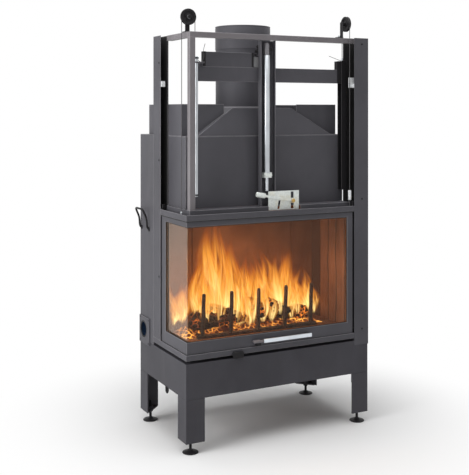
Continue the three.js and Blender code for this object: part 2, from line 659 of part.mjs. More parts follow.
// ---- the lifting door ---------------------------------------------------------------------------
function door() {
  const f = DOOR_FRONT;
  const back = DOOR_INNER;
  const paneLow = DOOR_BOTTOM + DOOR_BOTTOM_RAIL;
  const paneTop = DOOR_TOP - DOOR_TOP_RAIL;
  const rail = (z0, z1) => ell(f, f, DOOR_RIGHT, DOOR_REAR, DOOR_THICK, z0, z1);
  const frame = join(
    rail(DOOR_BOTTOM, paneLow),
    rail(paneTop, DOOR_TOP),
    block(DOOR_RIGHT - DOOR_STILE_RIGHT, DOOR_RIGHT, f, back, DOOR_BOTTOM, DOOR_TOP),
    block(f, back, DOOR_REAR - DOOR_STILE_LEFT, DOOR_REAR, DOOR_BOTTOM, DOOR_TOP),
  );
  const low = paneLow - GLASS_LAP;
  const top = paneTop + GLASS_LAP;
  const paneRight = DOOR_RIGHT - DOOR_STILE_RIGHT + GLASS_LAP;
  const paneRear = DOOR_REAR - DOOR_STILE_LEFT + GLASS_LAP;
  const face = GLASS_FACE;
  const rebates = [
    block(face, paneRight, face, back + 1, low, top),
    block(face, back + 1, face, paneRear, low, top),
  ];
  const wall = FRAME_WALL;
  const lowZ = [DOOR_BOTTOM + wall, low - wall];
  const highZ = [top + wall, DOOR_TOP - wall];
  const fullZ = [DOOR_BOTTOM + wall, DOOR_TOP - wall];
  const pockets = [
    block(face, DOOR_RIGHT - wall, face, back + 1, ...lowZ),
    block(face, DOOR_RIGHT - wall, face, back + 1, ...highZ),
    block(face, back + 1, face, DOOR_REAR - wall, ...lowZ),
    block(face, back + 1, face, DOOR_REAR - wall, ...highZ),
    block(paneRight + wall, DOOR_RIGHT - wall, face, back + 1, ...fullZ),
    block(face, back + 1, paneRear + wall, DOOR_REAR - wall, ...fullZ),
  ];
  add("door_frame", cut(frame, ...rebates, ...pockets), CHARCOAL);
  const inset = FIT;
  add("door_glass_front", block(
    face + inset, paneRight - inset, face + inset, face + GLASS_THICK, low + inset, top - inset,
  ), PANE);
  add("door_glass_side", block(
    face + inset, face + GLASS_THICK, face + GLASS_THICK + inset, paneRear - inset, low + inset, top - inset,
  ), PANE);
  doorHandle(DOOR_BOTTOM + HANDLE_ABOVE);
  doorRunners();
}

function doorHandle(z) {
  const y0 = -HANDLE_REACH;
  const start = HANDLE_LEFT - HANDLE_MOUNT;
  const end = HANDLE_LEFT + HANDLE_LENGTH;
  const top = z + HANDLE_BAR;
  const legY = [y0 + HANDLE_DEEP / 2, DOOR_FRONT - FIT];
  add("door_handle", join(
    block(start, end, y0, y0 + HANDLE_DEEP, z, top),
    block(start, HANDLE_LEFT - 12, ...legY, z + 1, top - 1),
    block(end - 22, end - 6, ...legY, z + 2, top - 2),
  ), BRIGHT);
}

function doorRunners() {
  const low = DOOR_BOTTOM + 20;
  const top = RUNNER_TOP;
  const slim = FRAME_LIP;
  add("door_runner_right", block(
    DOOR_RIGHT + FIT, DOOR_RIGHT + 24, DOOR_FRONT + slim, DOOR_INNER - slim, low, top,
  ), BLACK);
  add("door_runner_left", block(
    DOOR_FRONT + slim, DOOR_INNER - slim, DOOR_REAR + FIT, DOOR_REAR + 20, low, top,
  ), BLACK);
}

// ---- pulleys, cables and counterweight ----------------------------------------------------------
function pulley(name) {
  const half = PULLEY_WIDE / 2;
  const bore = AXLE_R + RUNNING;
  const shape = turned([
    [bore, -half], [bore + 7, -half], [bore + 8, -half + 3], [GROOVE_R - 6, -half + 3],
    [GROOVE_R - 5, -half], [PULLEY_R, -half], [PULLEY_R, -half + 1.5], [GROOVE_R, -2.2],
    [GROOVE_R, 2.2], [PULLEY_R, half - 1.5], [PULLEY_R, half], [GROOVE_R - 5, half],
    [GROOVE_R - 6, half - 3], [bore + 8, half - 3], [bore + 7, half], [bore, half], [bore, -half],
  ], 32);
  return add(name, shape, BLACK);
}

// Each bracket stands on a top rail and carries its pulley's axle, which points to -Y or +X.
function pulleys() {
  const left = pulley("pulley_left");
  left.rotation.x = Math.PI / 2;
  left.position.set(PULLEY_MID, WEIGHT_LINE, PULLEY_Z);
  const right = pulley("pulley_right");
  right.rotation.y = Math.PI / 2;
  right.position.set(CABLE_RIGHT_X, PULLEY_MID, PULLEY_Z);

  const foot = MEMBER_TOP + FIT;
  const reach = PULLEY_WIDE / 2 + 2;
  const half = BRACKET_HALF;
  const thick = BRACKET_THICK;
  const mid = PULLEY_MID;
  const plateY = WEIGHT_LINE + reach;
  const tipY = WEIGHT_LINE - reach;
  add("pulley_bracket_left", join(
    block(mid - half, mid + half, plateY, plateY + thick, foot, PULLEY_Z + 8),
    block(mid - half - 2, mid + half + 2, plateY, plateY + BRACKET_FOOT, foot, foot + thick),
    bar([mid, plateY + 1, PULLEY_Z], [mid, tipY, PULLEY_Z], AXLE_R),
    bar([mid, tipY + 1.5, PULLEY_Z], [mid, tipY - 4, PULLEY_Z], AXLE_R + 3),
  ), BLACK);
  const plateX = CABLE_RIGHT_X - reach - BRACKET_AWAY;
  const tipX = CABLE_RIGHT_X + reach;
  add("pulley_bracket_right", join(
    block(plateX - thick, plateX, mid - half, mid + half, foot, PULLEY_Z + 8),
    block(plateX - BRACKET_FOOT, plateX, mid - half - 2, mid + half + 2, foot, foot + thick),
    bar([plateX - 1, mid, PULLEY_Z], [tipX, mid, PULLEY_Z], AXLE_R),
    bar([tipX - 1.5, mid, PULLEY_Z], [tipX + 4, mid, PULLEY_Z], AXLE_R + 3),
    bar([plateX - 1, mid, PULLEY_Z], [CABLE_RIGHT_X - reach + 1, mid, PULLEY_Z], AXLE_R + 3),
  ), BLACK);
}

// Up from the door, over the pulley and down to the counterweight; sideways is along X or Y.
class CableRoute extends THREE.Curve {
  constructor(centre, sideways, doorEnd, weightEnd) {
    super();
    Object.assign(this, { centre, sideways, up: PULLEY_Z - doorEnd, down: PULLEY_Z - weightEnd });
  }
  getPoint(t, target = new THREE.Vector3()) {
    const along = (t - STRAIGHT_SHARE) / (1 - 2 * STRAIGHT_SHARE);
    const angle = Math.PI * THREE.MathUtils.clamp(along, 0, 1);
    const below = Math.max(1 - t / STRAIGHT_SHARE, 0) * this.up;
    const after = Math.max(1 - (1 - t) / STRAIGHT_SHARE, 0) * this.down;
    target.copy(this.centre).addScaledVector(this.sideways, -Math.cos(angle) * CABLE_RUN);
    target.z += Math.sin(angle) * CABLE_RUN - below - after;
    return target;
  }
  getUtoTmapping(u) {
    return u;
  }
}

function cables() {
  const doorEnd = DOOR_TOP + FIT;
  const overLeft = new THREE.Vector3(PULLEY_MID, WEIGHT_LINE, PULLEY_Z);
  const overRight = new THREE.Vector3(CABLE_RIGHT_X, PULLEY_MID, PULLEY_Z);
  const left = new CableRoute(overLeft, new THREE.Vector3(1, 0, 0), doorEnd, LUG_TOP + FIT);
  const right = new CableRoute(overRight, new THREE.Vector3(0, 1, 0), doorEnd, LUG_RIGHT_TOP + FIT);
  const steps = 30;
  add("cable_left", tube(left, CABLE_R, steps, 8), BLACK);
  add("cable_right", tube(right, CABLE_R, steps, 8), BLACK);
}

function counterweight() {
  const back = WEIGHT_Y + WEIGHT_THICK;
  const inBar = WEIGHT_TOP - 1;
  const eyeX = [GUIDE_ROD_X - 13, LUG_LEFT_END];
  const shape = join(
    block(WEIGHT_LEFT, WEIGHT_RIGHT, WEIGHT_Y, back, WEIGHT_BOTTOM, WEIGHT_TOP),
    block(...eyeX, GUIDE_ROD_Y - 11, back, LUG_TOP - 6, LUG_TOP),
    block(LUG_LEFT_END - 18, LUG_LEFT_END, WEIGHT_Y, back, inBar, LUG_TOP),
    block(WEIGHT_RIGHT - LUG_RIGHT_WIDTH, WEIGHT_RIGHT, WEIGHT_Y, back, inBar, LUG_RIGHT_TOP),
  );
  const rodX = GUIDE_ROD_X;
  const rodWay = bar(
    [rodX, GUIDE_ROD_Y, WEIGHT_TOP], [rodX, GUIDE_ROD_Y, LUG_TOP + 1], GUIDE_ROD_R + 2 * RUNNING,
  );
  add("counterweight_bar", cut(shape, rodWay), CHARCOAL);
  const boxLow = WEIGHT_TOP + FIT;
  const boxEnd = WEIGHT_BOX_LEFT + WEIGHT_BOX_LENGTH;
  add("counterweight_box", block(
    WEIGHT_BOX_LEFT, boxEnd, WEIGHT_Y, back, boxLow, boxLow + WEIGHT_BOX_HEIGHT,
  ), CHARCOAL);
}

// The left guide is a bright rod held off the corner post, the right one a channel beside the right post.
function weightGuides() {
  const rodX = GUIDE_ROD_X;
  const rodY = GUIDE_ROD_Y;
  const past = FRAME_IN + 6;
  const slim = block(past, rodX + 1, 0, rodY - 8, 0, GUIDE_TOP);
  const arm = (z) => cut(block(FRAME_IN + FIT, rodX, FRAME_Y + 8, rodY + 3, z, z + GUIDE_ARM), slim);
  add("guide_rod", join(
    bar([rodX, rodY, GUIDE_BOTTOM], [rodX, rodY, GUIDE_TOP], GUIDE_ROD_R, GUIDE_ROD_R, 32),
    arm(GUIDE_BOTTOM + 4),
    arm(GUIDE_TOP - 4 - GUIDE_ARM),
  ), BRIGHT);
  const web = POST_RIGHT_X - FIT;
  const left = web - CHANNEL_WIDE;
  const y0 = WEIGHT_Y - 6;
  const y1 = BODY_Y - FIT;
  add("guide_channel", join(
    block(web - SHEET, web, y0, y1, GUIDE_BOTTOM, GUIDE_TOP),
    block(left, web, y0, y0 + SHEET, GUIDE_BOTTOM, GUIDE_TOP),
    block(left, web, y1 - SHEET, y1, GUIDE_BOTTOM, GUIDE_TOP),
  ), BLACK);
}

// ---- flue damper and its lever ------------------------------------------------------------------
// A slotted plate; the lever's bolt stands on the bridge between its two upright slots.
function controlPlate() {
  const back = CENTRE_POST_Y - FIT;
  const front = back - PLATE_THICK;
  const through = [front - 1, back + 1];
  const low = PLATE_BOTTOM + 4;
  const top = PLATE_BOTTOM + PLATE_HEIGHT - 5;
  const px = LEVER_PIVOT_X;
  const pz = LEVER_PIVOT_Z;
  const plate = block(
    PLATE_LEFT, PLATE_LEFT + PLATE_LENGTH, front, back, PLATE_BOTTOM, PLATE_BOTTOM + PLATE_HEIGHT,
  );
  const upright = (z0, z1) => block(px - SLOT_HALF, px + SLOT_HALF, ...through, z0, z1);
  const slantX = PLATE_LEFT + 45;
  const slant = loft(
    [slantX, slantX + SLANT_WIDTH, ...through, low],
    [slantX + 6, slantX + 6 + SLANT_WIDTH, ...through, low + 36],
  );
  add("control_plate", join(
    cut(plate, upright(low, pz - SLOT_BRIDGE), upright(pz + SLOT_BRIDGE, top), slant),
    bar([px, back - 1, pz], [px, LEVER_FRONT - 2, pz], LEVER_BOLT_R),
    bar([px, LEVER_FRONT - 1, pz], [px, LEVER_FRONT - 3, pz], LEVER_BOLT_R + 3),
  ), ZINC);
}

// Built level, then turned up about its pivot.
function damperLever() {
  const y0 = LEVER_FRONT;
  const y1 = y0 + LEVER_THICK;
  const gripY = (DOOR_INNER + CENTRE_POST_Y) / 2;
  const gripEnd = GRIP_START + GRIP_LENGTH;
  const grip = bar([-GRIP_START, 0, 0], [-gripEnd, 0, 0], GRIP_R, GRIP_R - 0.5)
    .scale(1, GRIP_THICK / (2 * GRIP_R), 1)
    .translate(0, gripY, 0);
  const shape = join(
    block(-GRIP_START - 10, 8, y0, y1, -LEVER_HALF, LEVER_HALF),
    bar([0, y0, 0], [0, y1, 0], 2 * LEVER_HALF + 1),
    grip,
    bar([-LEVER_PIN, y1 - 1, 0], [-LEVER_PIN, TUBE_Y - THIN_ROD_R - FIT, 0], 2.5),
  );
  const hole = bar([0, y0 - 1, 0], [0, y1 + 1, 0], LEVER_BOLT_R + RUNNING);
  const lever = add("damper_lever", cut(shape, hole), ZINC);
  lever.rotation.y = THREE.MathUtils.degToRad(LEVER_RISE);
  lever.position.set(LEVER_PIVOT_X, 0, LEVER_PIVOT_Z);
}

// A thin rod in a clamp below, the tube, and two prongs that hold the crank's pin.
function damperRod() {
  const x = TUBE_X;
  const line = (z) => [x, TUBE_Y, z];
  const pinZ = SPINDLE_Z + CRANK_R * Math.sin(THREE.MathUtils.degToRad(CRANK_ANGLE));
  const prong = (y0, y1) => block(x - 11, x + 6, y0, y1, TUBE_TOP - 1, pinZ + 16);
  add("damper_rod", join(
    bar(line(THIN_ROD_BOTTOM), line(TUBE_BOTTOM + 5), THIN_ROD_R),
    cut(
      bar(line(TUBE_BOTTOM), line(TUBE_TOP), TUBE_R, TUBE_R, 32),
      bar(line(TUBE_BOTTOM + 8), line(TUBE_TOP + 1), TUBE_R - 2, TUBE_R - 2, 32),
    ),
    block(x - 17, x + 20, TUBE_Y - 11, TUBE_Y + 11, TUBE_BOTTOM - 20, TUBE_BOTTOM + 2),
    prong(TUBE_Y - 10, TUBE_Y - 5.5),
    prong(TUBE_Y + 4, TUBE_Y + 8),
  ), BRIGHT);
}

// Butterfly plate on a spindle through the flue, with the crank between the rod's prongs.
function damperFlap() {
  const turn = THREE.MathUtils.degToRad(CRANK_ANGLE);
  const pinX = FLUE_X - CRANK_R * Math.cos(turn);
  const pinZ = SPINDLE_Z + CRANK_R * Math.sin(turn);
  const y0 = TUBE_Y - 4;
  const y1 = TUBE_Y + 2.5;
  const hub = (from, to, radius, sides) =>
    bar([FLUE_X, from, SPINDLE_Z], [FLUE_X, to, SPINDLE_Z], radius, radius, sides);
  const bladeR = FLUE_R - SHEET - 4;
  const left = [FLUE_X - 1.5, FLUE_Y, SPINDLE_Z];
  const right = [FLUE_X + 1.5, FLUE_Y, SPINDLE_Z];
  add("damper_flap", join(
    hub(y0, y1, SPINDLE_R + 3),
    bar([FLUE_X, y0 + 3, SPINDLE_Z], [pinX, y0 + 3, pinZ], 3, 3, 12),
    bar([pinX, y0 - 0.5, pinZ], [pinX, y1 + 0.5, pinZ], 4),
    hub(y0 + 1, FLUE_Y + FLUE_R + 9, SPINDLE_R),
    bar(left, right, bladeR, bladeR, 48),
  ), CAST);
}

// ---- upper casing, hood and flue ----------------------------------------------------------------
function grow([x0, x1, y0, y1, z], side, up) {
  return [x0 - side, x1 + side, y0 - side, y1 + side, z + up];
}

function smokeHood() {
  const outer = loft(HOOD_LOW, HOOD_HIGH);
  const inner = loft(grow(HOOD_LOW, -SHEET, -1), grow(HOOD_HIGH, -SHEET, -SHEET));
  const bore = FLUE_R - SHEET;
  const throat = bar([FLUE_X, FLUE_Y, HOOD_TOP - 10], [FLUE_X, FLUE_Y, HOOD_TOP + 1], bore, bore, 48);
  add("smoke_hood", cut(outer, inner, throat), CHARCOAL);
}

// Each half is a side wall with a front plate and half of the back, cut to the hood's slope.
function upperCasing() {
  const back = BODY_BACK - SHEET;
  const hoodClear = loft(grow(HOOD_LOW, HOOD_CLEAR, -1), grow(HOOD_HIGH, HOOD_CLEAR, 1));
  const panel = (x0, x1, y0, y1) => block(x0, x1, y0, y1, BODY_TOP + FIT, UPPER_TOP);
  const half = (name, wallX, faceX, backX) => add(name, cut(join(
    panel(wallX, wallX + SHEET, UPPER_Y, back),
    panel(...faceX, UPPER_Y, UPPER_Y + SHEET),
    panel(...backX, back - SHEET, back),
  ), hoodClear), CHARCOAL);
  const right = BODY_RIGHT;
  half("upper_casing_left", BODY_X, [BODY_X, BODY_X + UPPER_LEFT_WIDTH], [BODY_X, FLUE_X]);
  half("upper_casing_right", right - SHEET, [right - UPPER_RIGHT_WIDTH, right], [FLUE_X + FIT, right]);
}

function flueTube() {
  const bore = FLUE_R - SHEET;
  const shape = turned([
    [bore, HOOD_TOP + FIT], [FLUE_R, HOOD_TOP + FIT], [FLUE_R, COLLAR_BOTTOM], [COLLAR_R, COLLAR_BOTTOM + 3],
    [COLLAR_R, FLUE_TOP], [bore, FLUE_TOP], [bore, HOOD_TOP + FIT],
  ], 64).translate(FLUE_X, FLUE_Y, 0);
  const across = FLUE_Y + FLUE_R + 20;
  const bearing = bar([FLUE_X, 0, SPINDLE_Z], [FLUE_X, across, SPINDLE_Z], SPINDLE_R + RUNNING);
  add("flue_tube", cut(shape, bearing), CHARCOAL);
}

// ---- air control --------------------------------------------------------------------------------
function airSlider() {
  const z0 = APRON_TOP + RUNNING;
  const stem = block(KNOB_X - 12, KNOB_X + 12, -4, FRAME_Y - 1, z0, SILL_BOTTOM - RUNNING);
  const low = SILL_BOTTOM - 6;
  const knob = block(KNOB_X - KNOB_HALF, KNOB_X + KNOB_HALF, -14, -1, low, low + KNOB_HEIGHT);
  add("air_slider", join(stem, knob), BLACK);
}

baseFrame();
leg("front_left", 0, 0, 1, 1);
leg("front_right", WIDTH, 0, -1, 1);
leg("rear_left", 0, DEPTH, 1, -1);
leg("rear_right", WIDTH, DEPTH, -1, -1);
hearth();
grate();
ashPan();
bodyPanels();
linings();
logGuard();
leftCasing();
airInlet();
sideHandle();
sill();
lintel();
posts();
topRails();
doorStops();
door();
pulleys();
cables();
counterweight();
weightGuides();
controlPlate();
damperLever();
damperRod();
damperFlap();
smokeHood();
upperCasing();
flueTube();
airSlider();

// The origin is the middle of the whole box to the nearest millimetre, on the floor.
const box = new THREE.Box3().setFromObject(insert, true);
const centre = box.getCenter(new THREE.Vector3());
insert.position.set(-Math.round(centre.x), -Math.round(centre.y), -Math.round(box.min.z));

export default insert;
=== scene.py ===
"""The looks of a corner fireplace insert with a lifting glazed door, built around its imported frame."""
import math
import random

import bmesh
import bpy
from mathutils import Matrix, Vector, noise


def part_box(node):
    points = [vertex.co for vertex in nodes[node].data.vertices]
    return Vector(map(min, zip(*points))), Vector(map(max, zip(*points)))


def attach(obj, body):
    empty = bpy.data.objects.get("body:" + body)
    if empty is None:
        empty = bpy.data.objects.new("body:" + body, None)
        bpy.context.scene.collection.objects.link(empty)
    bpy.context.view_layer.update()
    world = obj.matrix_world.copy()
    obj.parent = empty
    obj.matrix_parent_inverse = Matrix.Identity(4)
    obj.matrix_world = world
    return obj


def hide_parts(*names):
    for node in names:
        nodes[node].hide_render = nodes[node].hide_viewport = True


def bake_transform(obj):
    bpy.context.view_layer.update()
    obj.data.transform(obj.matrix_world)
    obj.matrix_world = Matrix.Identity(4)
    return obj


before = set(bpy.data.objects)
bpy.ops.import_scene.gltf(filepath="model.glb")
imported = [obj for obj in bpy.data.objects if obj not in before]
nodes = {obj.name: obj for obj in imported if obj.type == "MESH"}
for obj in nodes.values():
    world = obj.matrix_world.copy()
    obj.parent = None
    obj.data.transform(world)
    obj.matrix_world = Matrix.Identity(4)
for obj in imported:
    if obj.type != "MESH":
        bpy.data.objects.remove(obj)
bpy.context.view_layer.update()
scene = bpy.context.scene

MM = 0.001
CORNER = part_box("base_frame")[0]
X, Y, Z = Vector((1, 0, 0)), Vector((0, 1, 0)), Vector((0, 0, 1))


def at(x, y, z):
    """A place in millimetres from the base frame's front left corner and the floor, in the row frame."""
    return Vector((CORNER.x + x * MM, CORNER.y + y * MM, z * MM))


def mm(x, y, z):
    """A place in the row frame, or an offset, given in millimetres."""
    return Vector((x * MM, y * MM, z * MM))


def limits(node):
    """The node's lowest x, y and z and then its highest, in millimetres in the row frame."""
    low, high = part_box(node)
    return [value / MM for value in (*low, *high)]


def ease(value, low, high):
    """0 below low, 1 above high and a smooth step between them."""
    t = min(max((value - low) / (high - low), 0.0), 1.0)
    return t * t * (3 - 2 * t)


def placed(name, data):
    """A new object in the scene that shows data."""
    thing = bpy.data.objects.new(name, data)
    scene.collection.objects.link(thing)
    return thing


# ---- camera ----
IMAGE = (469, 475)
FOCAL = 891.06  # pixels
HORIZON = 110.835  # the picture row of the horizon
YAW = 27.249  # degrees the camera is turned to the right of +Y
SENSOR = 36.0
EYE = (-1469.2, -3278.2, 1392.6)  # mm, as at() takes them
CLIP_END = 60  # metres


def make_camera():
    data = bpy.data.cameras.new("camera")
    data.sensor_width = SENSOR
    data.lens = FOCAL / max(IMAGE) * SENSOR
    data.shift_y = (HORIZON - IMAGE[1] / 2) / max(IMAGE)
    data.clip_end = CLIP_END
    camera = placed("camera", data)
    camera.location = at(*EYE)
    camera.rotation_euler = (math.radians(90), 0, -math.radians(YAW))
    scene.camera = camera


# ---- node materials ----
def rgb(red, green, blue):
    """A colour given as it shows on a screen, from 0 to 255, in scene light."""
    shares = [c / 255 for c in (red, green, blue)]
    linear = [c / 12.92 if c < 10.3 / 255 else ((c + 0.055) / 1.055) ** 2.4 for c in shares]
    return (*linear, 1.0)


def scaled(colour, factor):
    return (*(min(c * factor, 1.0) for c in colour[:3]), 1.0)


class Shade:
    """One node material. Each method adds a node and gives back the socket that it feeds."""

    def __init__(self, name, coordinates="Object"):
        self.material = bpy.data.materials.new(name)
        self.material.use_nodes = True
        self.tree = self.material.node_tree
        self.tree.nodes.clear()
        self.place = self.add("TexCoord").outputs[coordinates]

    def add(self, kind, inputs=None, **settings):
        """Adds a node; kind is its type's name without ShaderNode."""
        node = self.tree.nodes.new("ShaderNode" + kind)
        for key, value in settings.items():
            setattr(node, key, value)
        for key, value in (inputs or {}).items():
            self.feed(node.inputs[key], value)
        return node

    def feed(self, socket, value):
        if isinstance(value, bpy.types.NodeSocket):
            self.tree.links.new(value, socket)
        else:
            socket.default_value = value

    def stretched(self, x, y, z):
        return self.add("Mapping", {"Vector": self.place, "Scale": (x, y, z)}).outputs[0]

    def noise(self, scale, detail=2.0, rough=0.5, where=None, distortion=0.0):
        return self.add("TexNoise", {
            "Vector": where or self.place, "Scale": scale, "Detail": detail,
            "Roughness": rough, "Distortion": distortion,
        }).outputs[0]

    def cells(self, scale, feature="F1"):
        node = self.add("TexVoronoi", {"Vector": self.place, "Scale": scale}, feature=feature)
        return node.outputs["Distance"]

    def axis(self, letter):
        return self.add("SeparateXYZ", {"Vector": self.place}).outputs[letter]

    def span(self, value, low, high, to_low=0.0, to_high=1.0, smooth=False):
        node = self.add("MapRange", {
            "Value": value, "From Min": low, "From Max": high, "To Min": to_low, "To Max": to_high,
        }, interpolation_type="SMOOTHSTEP" if smooth else "LINEAR")
        return node.outputs[0]

    def maths(self, operation, first, second=0.0):
        return self.add("Math", {0: first, 1: second}, operation=operation).outputs[0]

    def times(self, first, second):
        return self.maths("MULTIPLY", first, second)

    def mix(self, share, first, second):
        return self.add("Mix", {0: share, 6: first, 7: second}, data_type="RGBA").outputs[2]

    def mixed(self, share, first, second):
        """Two shaders in one, of which share is the second's part."""
        return self.add("MixShader", {0: share, 1: first, 2: second}).outputs[0]

    def bump(self, height, distance, normal=None):
        inputs = {"Height": height, "Distance": distance, "Strength": 1.0}
        if normal is not None:
            inputs["Normal"] = normal
        return self.add("Bump", inputs).outputs[0]

    def principled(self, **inputs):
        named = {key.replace("_", " "): value for key, value in inputs.items()}
        self.show(self.add("BsdfPrincipled", named).outputs[0])
        return self.material

    def show(self, shader):
        self.feed(self.add("OutputMaterial").inputs["Surface"], shader)


def paint(name, colour, roughness):
    """Stove paint: sprayed unevenly, with handling marks, dust and a fine pebbled surface."""
    s = Shade(name)
    cloud = s.noise(2.4, 4, 0.6)
    smear = s.noise(11, 4, 0.65, s.stretched(1, 1, 0.22), 0.4)
    grain = s.noise(700, 2, 0.6)
    tone = s.mix(s.span(cloud, 0.33, 0.67), scaled(colour, 0.86), scaled(colour, 1.14))
    tone = s.mix(s.span(smear, 0.52, 0.75, 0.0, 0.3), tone, scaled(colour, 1.5))
    tone = s.mix(s.span(grain, 0.3, 0.7, 0.22, 0.0), tone, scaled(colour, 0.45))
    rough = s.span(smear, 0.35, 0.7, roughness - 0.05, roughness + 0.08)
    sheet = s.bump(s.noise(3.2, 1, 0.4), 0.004)
    pebbled = s.bump(grain, 0.00006, sheet)
    return s.principled(
        Base_Color=tone, Roughness=rough, Metallic=0.0, Specular_IOR_Level=0.15, Normal=pebbled,
    )


def bare_metal(name, colour, roughness, lines=(1, 1, 0.02), stain=None):
    """Drawn or ground metal with fine lines along one way and faint stains."""
    s = Shade(name)
    scratch = s.noise(900, 3, 0.6, s.stretched(*lines))
    patch = s.noise(14, 3, 0.6)
    tone = s.mix(s.span(patch, 0.35, 0.7), scaled(colour, 0.88), scaled(colour, 1.08))
    if stain:
        tone = s.mix(s.span(s.noise(23, 4, 0.7), 0.52, 0.72, 0.0, 0.5), tone, stain)
    rough = s.span(scratch, 0.3, 0.7, roughness - 0.06, roughness + 0.1)
    return s.principled(
        Base_Color=tone, Metallic=1.0, Roughness=rough, Normal=s.bump(scratch, 0.00003),
    )


def zinc_plate():
    """Bright zinc with small spangles and a straw tint where it was handled."""
    s = Shade("zinc")
    spangle = s.cells(110)
    tone = s.mix(s.span(spangle, 0.2, 0.8), rgb(206, 211, 208), rgb(224, 228, 224))
    tone = s.mix(s.span(s.noise(17, 3, 0.6), 0.55, 0.75, 0.0, 0.4), tone, rgb(205, 192, 150))
    rough = s.span(spangle, 0.1, 0.9, 0.42, 0.58)
    return s.principled(Base_Color=tone, Metallic=0.55, Roughness=rough, Normal=s.bump(spangle, 0.00002))


def cast_iron():
    """Iron from the fire's heat: scaly, with rust and grey ash in its hollows."""
    s = Shade("cast_iron")
    scale = s.noise(60, 6, 0.7)
    tone = s.mix(s.span(scale, 0.4, 0.62), rgb(30, 24, 22), rgb(74, 50, 40))
    tone = s.mix(s.span(s.noise(140, 4, 0.7), 0.58, 0.72, 0.0, 0.6), tone, rgb(104, 92, 84))
    return s.principled(Base_Color=tone, Roughness=0.85, Metallic=0.2, Normal=s.bump(scale, 0.0015))


def firebrick(name="firebrick", soot=0.0):
    """Fired lining: warm brown, faintly streaked upwards and sooty at the top; soot darkens all of it."""
    s = Shade(name)
    patch = s.noise(6, 5, 0.6)
    streak = s.noise(26, 4, 0.6, s.stretched(1, 1, 0.08))
    grain = s.noise(240, 2, 0.5)
    tone = s.mix(s.span(patch, 0.35, 0.65), rgb(112, 78, 60), rgb(142, 101, 78))
    tone = s.mix(s.span(streak, 0.5, 0.7, 0.0, 0.4), tone, rgb(84, 60, 50))
    tone = s.mix(s.span(s.axis("Z"), 0.68, 0.98, soot, 0.55 + soot / 3), tone, rgb(50, 38, 34))
    tone = s.mix(s.span(grain, 0.35, 0.65, 0.12, 0.0), tone, rgb(50, 36, 30))
    height = s.maths("ADD", s.times(grain, 0.12), patch)
    return s.principled(
        Base_Color=tone, Roughness=0.92, Specular_IOR_Level=0.15, Normal=s.bump(height, 0.0004),
    )


def pane():
    """Clear heat-resistant glass: a faint warm tint and its own gloss."""
    s = Shade("glass")
    haze = s.noise(5, 4, 0.6)
    gloss = s.add("BsdfGlossy", {"Roughness": 0.04, "Color": rgb(255, 250, 245)}).outputs[0]
    film = s.add("BsdfDiffuse", {"Color": rgb(150, 128, 112)}).outputs[0]
    clear = s.add("BsdfTransparent", {"Color": rgb(250, 246, 240)}).outputs[0]
    rim = s.add("Fresnel", {"IOR": 1.42}).outputs[0]
    body = s.mixed(s.span(haze, 0.4, 0.75, 0.004, 0.025), clear, film)
    s.show(s.mixed(s.times(rim, 0.25), body, gloss))
    return s.material


def plastic(name, colour, roughness):
    s = Shade(name)
    mottle = s.noise(300, 3, 0.5)
    tone = s.mix(s.span(mottle, 0.3, 0.7), scaled(colour, 0.8), scaled(colour, 1.15))
    return s.principled(
        Base_Color=tone, Roughness=s.span(mottle, 0.3, 0.7, roughness - 0.05, roughness + 0.05),
        Normal=s.bump(mottle, 0.00008),
    )


def wire_rope():
    """Thin steel rope: its strands show as slanting ridges."""
    s = Shade("wire_rope")
    ridges = {"Vector": s.place, "Scale": 260.0, "Distortion": 0.6}
    lay = s.add("TexWave", ridges, bands_direction="DIAGONAL")
    strand = lay.outputs["Fac"]
    # The grooves between the strands are painted darker than their crowns: painted shade.
    tone = s.mix(strand, rgb(34, 33, 35), rgb(108, 106, 108))
    return s.principled(Base_Color=tone, Roughness=0.5, Metallic=0.5, Normal=s.bump(strand, 0.0004))


def charred_wood():
    """Burning log: black checked char, grey ash on the ridges and glowing cracks below."""
    s = Shade("charred_wood")
    crack = s.cells(38, "DISTANCE_TO_EDGE")
    bark = s.noise(50, 6, 0.7, s.stretched(0.35, 1, 1))
    tone = s.mix(s.span(bark, 0.4, 0.65), rgb(24, 17, 14), rgb(70, 48, 38))
    tone = s.mix(s.span(bark, 0.62, 0.72, 0.0, 0.7), tone, rgb(128, 116, 108))
    heat = s.times(s.span(crack, 0.0, 0.06, 1.0, 0.0), s.span(s.noise(9, 2), 0.42, 0.6))
    glow = s.mix(heat, rgb(150, 40, 8), rgb(255, 150, 50))
    height = s.maths("ADD", bark, s.span(crack, 0.0, 0.12))
    return s.principled(
        Base_Color=tone, Roughness=0.95, Emission_Color=glow, Emission_Strength=s.times(heat, 2.2),
        Normal=s.bump(height, 0.005),
    )


def ember():
    """Ember bed: glowing between crusts of ash."""
    s = Shade("ember")
    crust = s.cells(46, "DISTANCE_TO_EDGE")
    patch = s.noise(16, 4, 0.6)
    heat = s.times(s.span(crust, 0.02, 0.2, 1.0, 0.12), s.span(patch, 0.4, 0.58, 0.05, 1.0))
    glow = s.mix(heat, rgb(190, 52, 10), rgb(255, 190, 84))
    tone = s.mix(s.span(patch, 0.4, 0.6), rgb(58, 44, 38), rgb(34, 26, 24))
    return s.principled(
        Base_Color=tone, Roughness=0.95, Emission_Color=glow, Emission_Strength=s.times(heat, 1.8),
        Normal=s.bump(crust, 0.006),
    )


